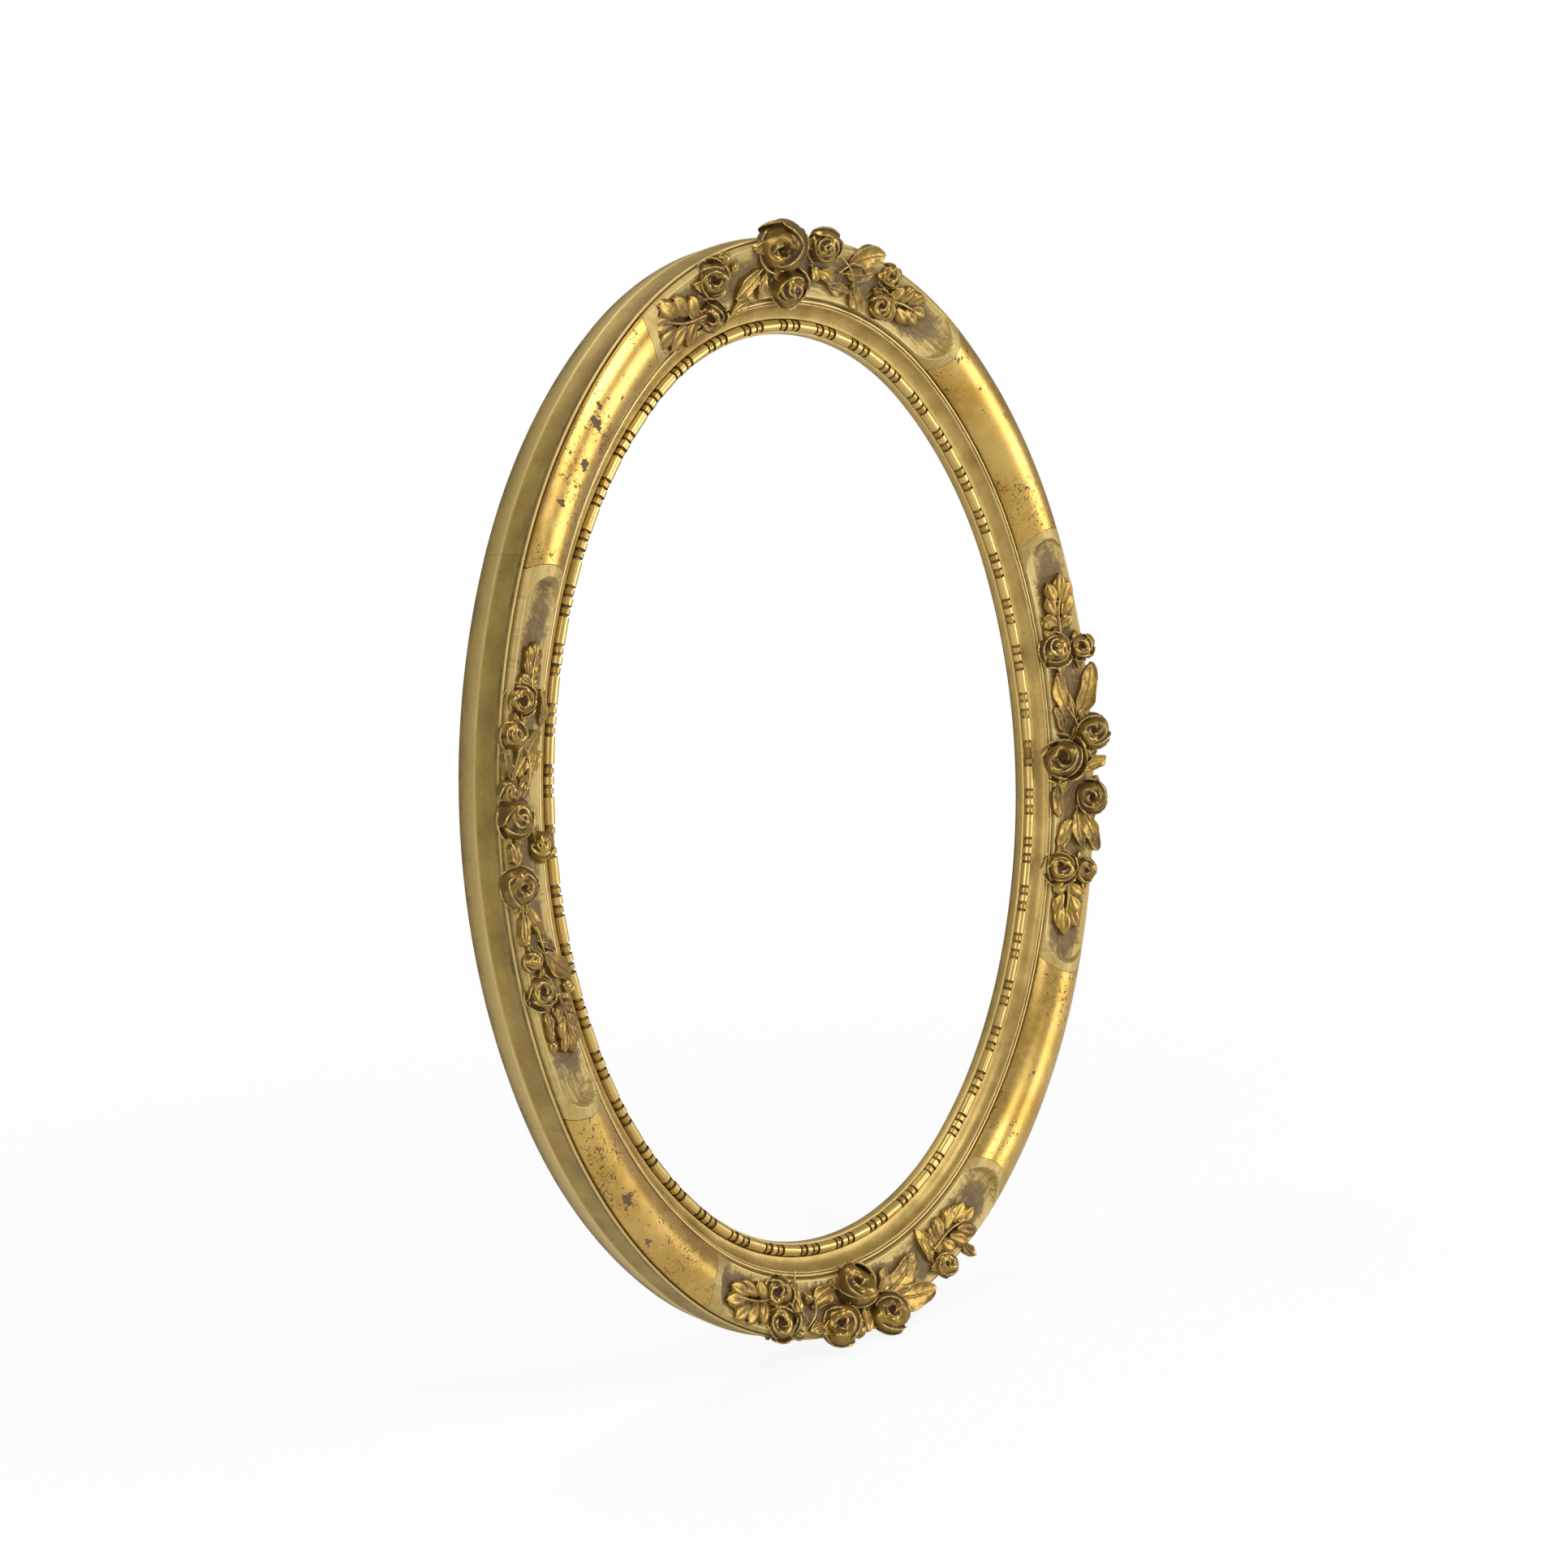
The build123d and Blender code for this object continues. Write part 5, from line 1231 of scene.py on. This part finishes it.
def build_flowers():
    for number, side in enumerate(SIDES):
        chance = random.Random(FLOWER_SEED + number)
        roses, leaves, sprigs = [], [], []
        for along, across, size, lean_along, lean_out, kind in ROSES[side]:
            roses += seated(side, along, across, rose(kind, size, chance), lean_along, lean_out)
        for along, across, length, width, heading in LEAVES[side]:
            leaves += seated(side, along, across, leaf(length, width, chance), heading=heading)
        for along, across, size, *_ in ROSES[side]:
            if size > SEPAL_FLOWER_SIZE:
                leaves += seated(side, along, across * SEPAL_ACROSS_SHARE, sepals(size, chance))
        for along, across, length, heading, bow in STEMS[side]:
            run = np.linspace(0, 1, 20)
            arch = np.sin(np.pi * run)
            places = np.stack([run * length, bow * arch, STEM_HEIGHT + STEM_ARCH * arch], 1)
            stem = tube(places, STEM_RADIUS - STEM_TAPER * run)
            leaves += seated(side, along, across, [stem], heading=heading)
        for along, across, length, heading in SPRIGS[side]:
            for forward, aside, turn, share in SPRIG_LOBES:
                points, faces = lobe(length * share, length * SPRIG_LOBE_WIDTH, chance)
                points = turned(points, about_z=turn) + [length * forward, length * aside, 0]
                sprigs += seated(side, along, across, [(points, faces)], heading=heading)
            run = np.linspace(-0.25, 0.75, 16)
            places = np.stack([run, 0.03 * np.sin(6 * run), 0 * run + TWIG_HEIGHT / length], 1) * length
            twig = tube(places, TWIG_RADIUS - TWIG_TAPER * run)
            sprigs += seated(side, along, across, [twig], heading=heading)
        for kind, parts in (("roses", roses), ("leaves", leaves), ("sprigs", sprigs)):
            skin = cast("gilt_" + kind + "_" + side, parts, *CASTS[kind])
            ride(skin, "frame", "flower_gold", side + "_" + kind)


# Hardware on the back: slotted screws, and the materials of the pieces kept from the model

SCREW_SHANK_RADIUS, SCREW_LENGTH, SCREW_HEAD_RADIUS, SCREW_HEAD_HEIGHT = 1.4, 12.0, 2.7, 1.5
STRAP_THICKNESS, STRAP_PLATE_OFFSET, STRAP_SCREW_SPREAD = 1.0, 21.5, 12.0
BUTTON_ANGLE, BUTTON_OFFSET, BUTTON_SEAT = 53.5, 17.0, 1.4
SLOT_HALF_WIDTH, SLOT_DEPTH = 0.32, 0.8
SCREW_SEED = 7


def screw(seat, chance):
    """Domed head with a slot, and a plain shank that ends in a point."""
    beside = SLOT_HALF_WIDTH + 0.05
    right = np.concatenate([SLOT_HALF_WIDTH * np.array([0, 0.5, 0.92, 1.0]),
                            beside + np.linspace(0, 1, 9) * (SCREW_HEAD_RADIUS * 0.995 - beside)])
    x = np.concatenate([-right[:0:-1], right])[:, None]
    half = np.sqrt(SCREW_HEAD_RADIUS ** 2 - x ** 2)
    y = half * np.sin(np.linspace(-1, 1, 17) * np.pi / 2)[None, :]
    x = x + 0 * y
    dome = np.sqrt(np.clip(1 - (x ** 2 + y ** 2) / SCREW_HEAD_RADIUS ** 2, 0, 1))
    height = SCREW_HEAD_HEIGHT * (1 / 3 + 2 / 3 * dome)
    height = np.where(np.abs(x) <= SLOT_HALF_WIDTH, np.minimum(height, SCREW_HEAD_HEIGHT - SLOT_DEPTH), height)
    head = solid_over(x, y, seat + height, seat)
    shank = [(0, -SCREW_LENGTH), (SCREW_SHANK_RADIUS, SCREW_SHANK_RADIUS - SCREW_LENGTH),
             (SCREW_SHANK_RADIUS, seat + 0.1), (0, seat + 0.1)]
    return [head, solid_turned(shank, chance, 20, 0.0)]


def build_hardware():
    chance = random.Random(SCREW_SEED)
    strap_z = OVAL_HALF_HEIGHT + STRAP_PLATE_OFFSET
    hanger = [(-STRAP_SCREW_SPREAD, strap_z), (STRAP_SCREW_SPREAD, strap_z)]
    angles = [BUTTON_ANGLE, 180 - BUTTON_ANGLE, 180 + BUTTON_ANGLE, 360 - BUTTON_ANGLE]
    buttons = frame_points(angles, BUTTON_OFFSET, 0)[:, [0, 2]] / MM
    for node, places, seat in (("hanger_screws", hanger, STRAP_THICKNESS),
                               ("turn_button_screws", buttons, BUTTON_SEAT)):
        parts = []
        for x, z in places:
            turn = chance.uniform(0, 180)
            for shape, faces in screw(seat, chance):
                shape = turned(shape, about_z=turn)
                parts.append((np.stack([shape[:, 0] + x, shape[:, 2], shape[:, 1] + z], 1) * MM, faces))
        piece = new_mesh("slotted_" + node, *gathered(parts), materials=[STEEL])
        finish_faces(piece)
        ride(piece, "frame", "screw_steel", node)
    for name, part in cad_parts.items():
        if name in ("carcass_dowels", "hanging_ring", "hanger_strap") or name.startswith("turn_button_"):
            for slot in part.material_slots:
                slot.link = "OBJECT"
                slot.material = DOWEL_WOOD if name == "carcass_dowels" else BRASS


build_carcass()
build_sight_mouldings()
build_burnished_lengths()
build_panels()
build_beads()
build_flowers()
build_hardware()


# Light and floor

# Each lamp's place, size in metres and power
LAMPS = {"key": ((0.3, -2.2, 1.7), 1.0, 30), "fill": ((-2.2, -1.2, 0.6), 1.6, 26),
         "top": ((-0.3, 0.6, 2.4), 1.2, 18), "side": ((1.6, -1.9, -0.15), 1.8, 38)}
WORLD_LIGHT = 0.30


def add_lamps():
    for name, (place, size, power) in LAMPS.items():
        data = bpy.data.lights.new(name, "AREA")
        data.shape, data.size, data.energy = "DISK", size, power
        lamp = add_object(name, data)
        lamp.location = place
        lamp.rotation_euler = (-Vector(place)).to_track_quat("-Z", "Y").to_euler()


def add_world():
    world = bpy.data.worlds.new("studio")
    bpy.context.scene.world = world
    world.use_nodes = True
    world.node_tree.nodes.clear()
    n = Nodes(world.node_tree)
    seen = n.add("ShaderNodeLightPath").outputs["Is Camera Ray"]
    strength = n.ramp(seen, 0.0, 1.0, WORLD_LIGHT, 1.0)
    background = n.add("ShaderNodeBackground", {"Color": (1, 1, 1, 1), "Strength": strength})
    n.add("ShaderNodeOutputWorld", {"Surface": background})


def add_floor():
    bpy.ops.mesh.primitive_plane_add(size=40, location=(0, 0, cad_box[0][2] - 0.0005))
    floor = bpy.context.object
    floor.name = "floor"
    made, n, surface = material("pale_floor")
    n.set(surface.inputs["Base Color"], (0.9, 0.9, 0.9, 1))
    n.set(surface.inputs["Roughness"], 0.9)
    seen = n.add("ShaderNodeLightPath").outputs["Is Camera Ray"]
    glow = n.add("ShaderNodeEmission", {"Color": (1, 1, 1, 1), "Strength": 1.0})
    away = n.add("ShaderNodeVectorMath", {0: n.place()}, operation="LENGTH").outputs["Value"]
    share = n.times(seen, n.ramp(away, 0.35, 1.6, 0.90, 1.0))
    both = n.add("ShaderNodeMixShader", {0: share, 1: surface, 2: glow})
    n.set(made.node_tree.nodes["Material Output"].inputs["Surface"], both)
    floor.data.materials.append(made)


add_lamps()
add_world()
add_floor()
bpy.context.scene.view_settings.view_transform = "Standard"
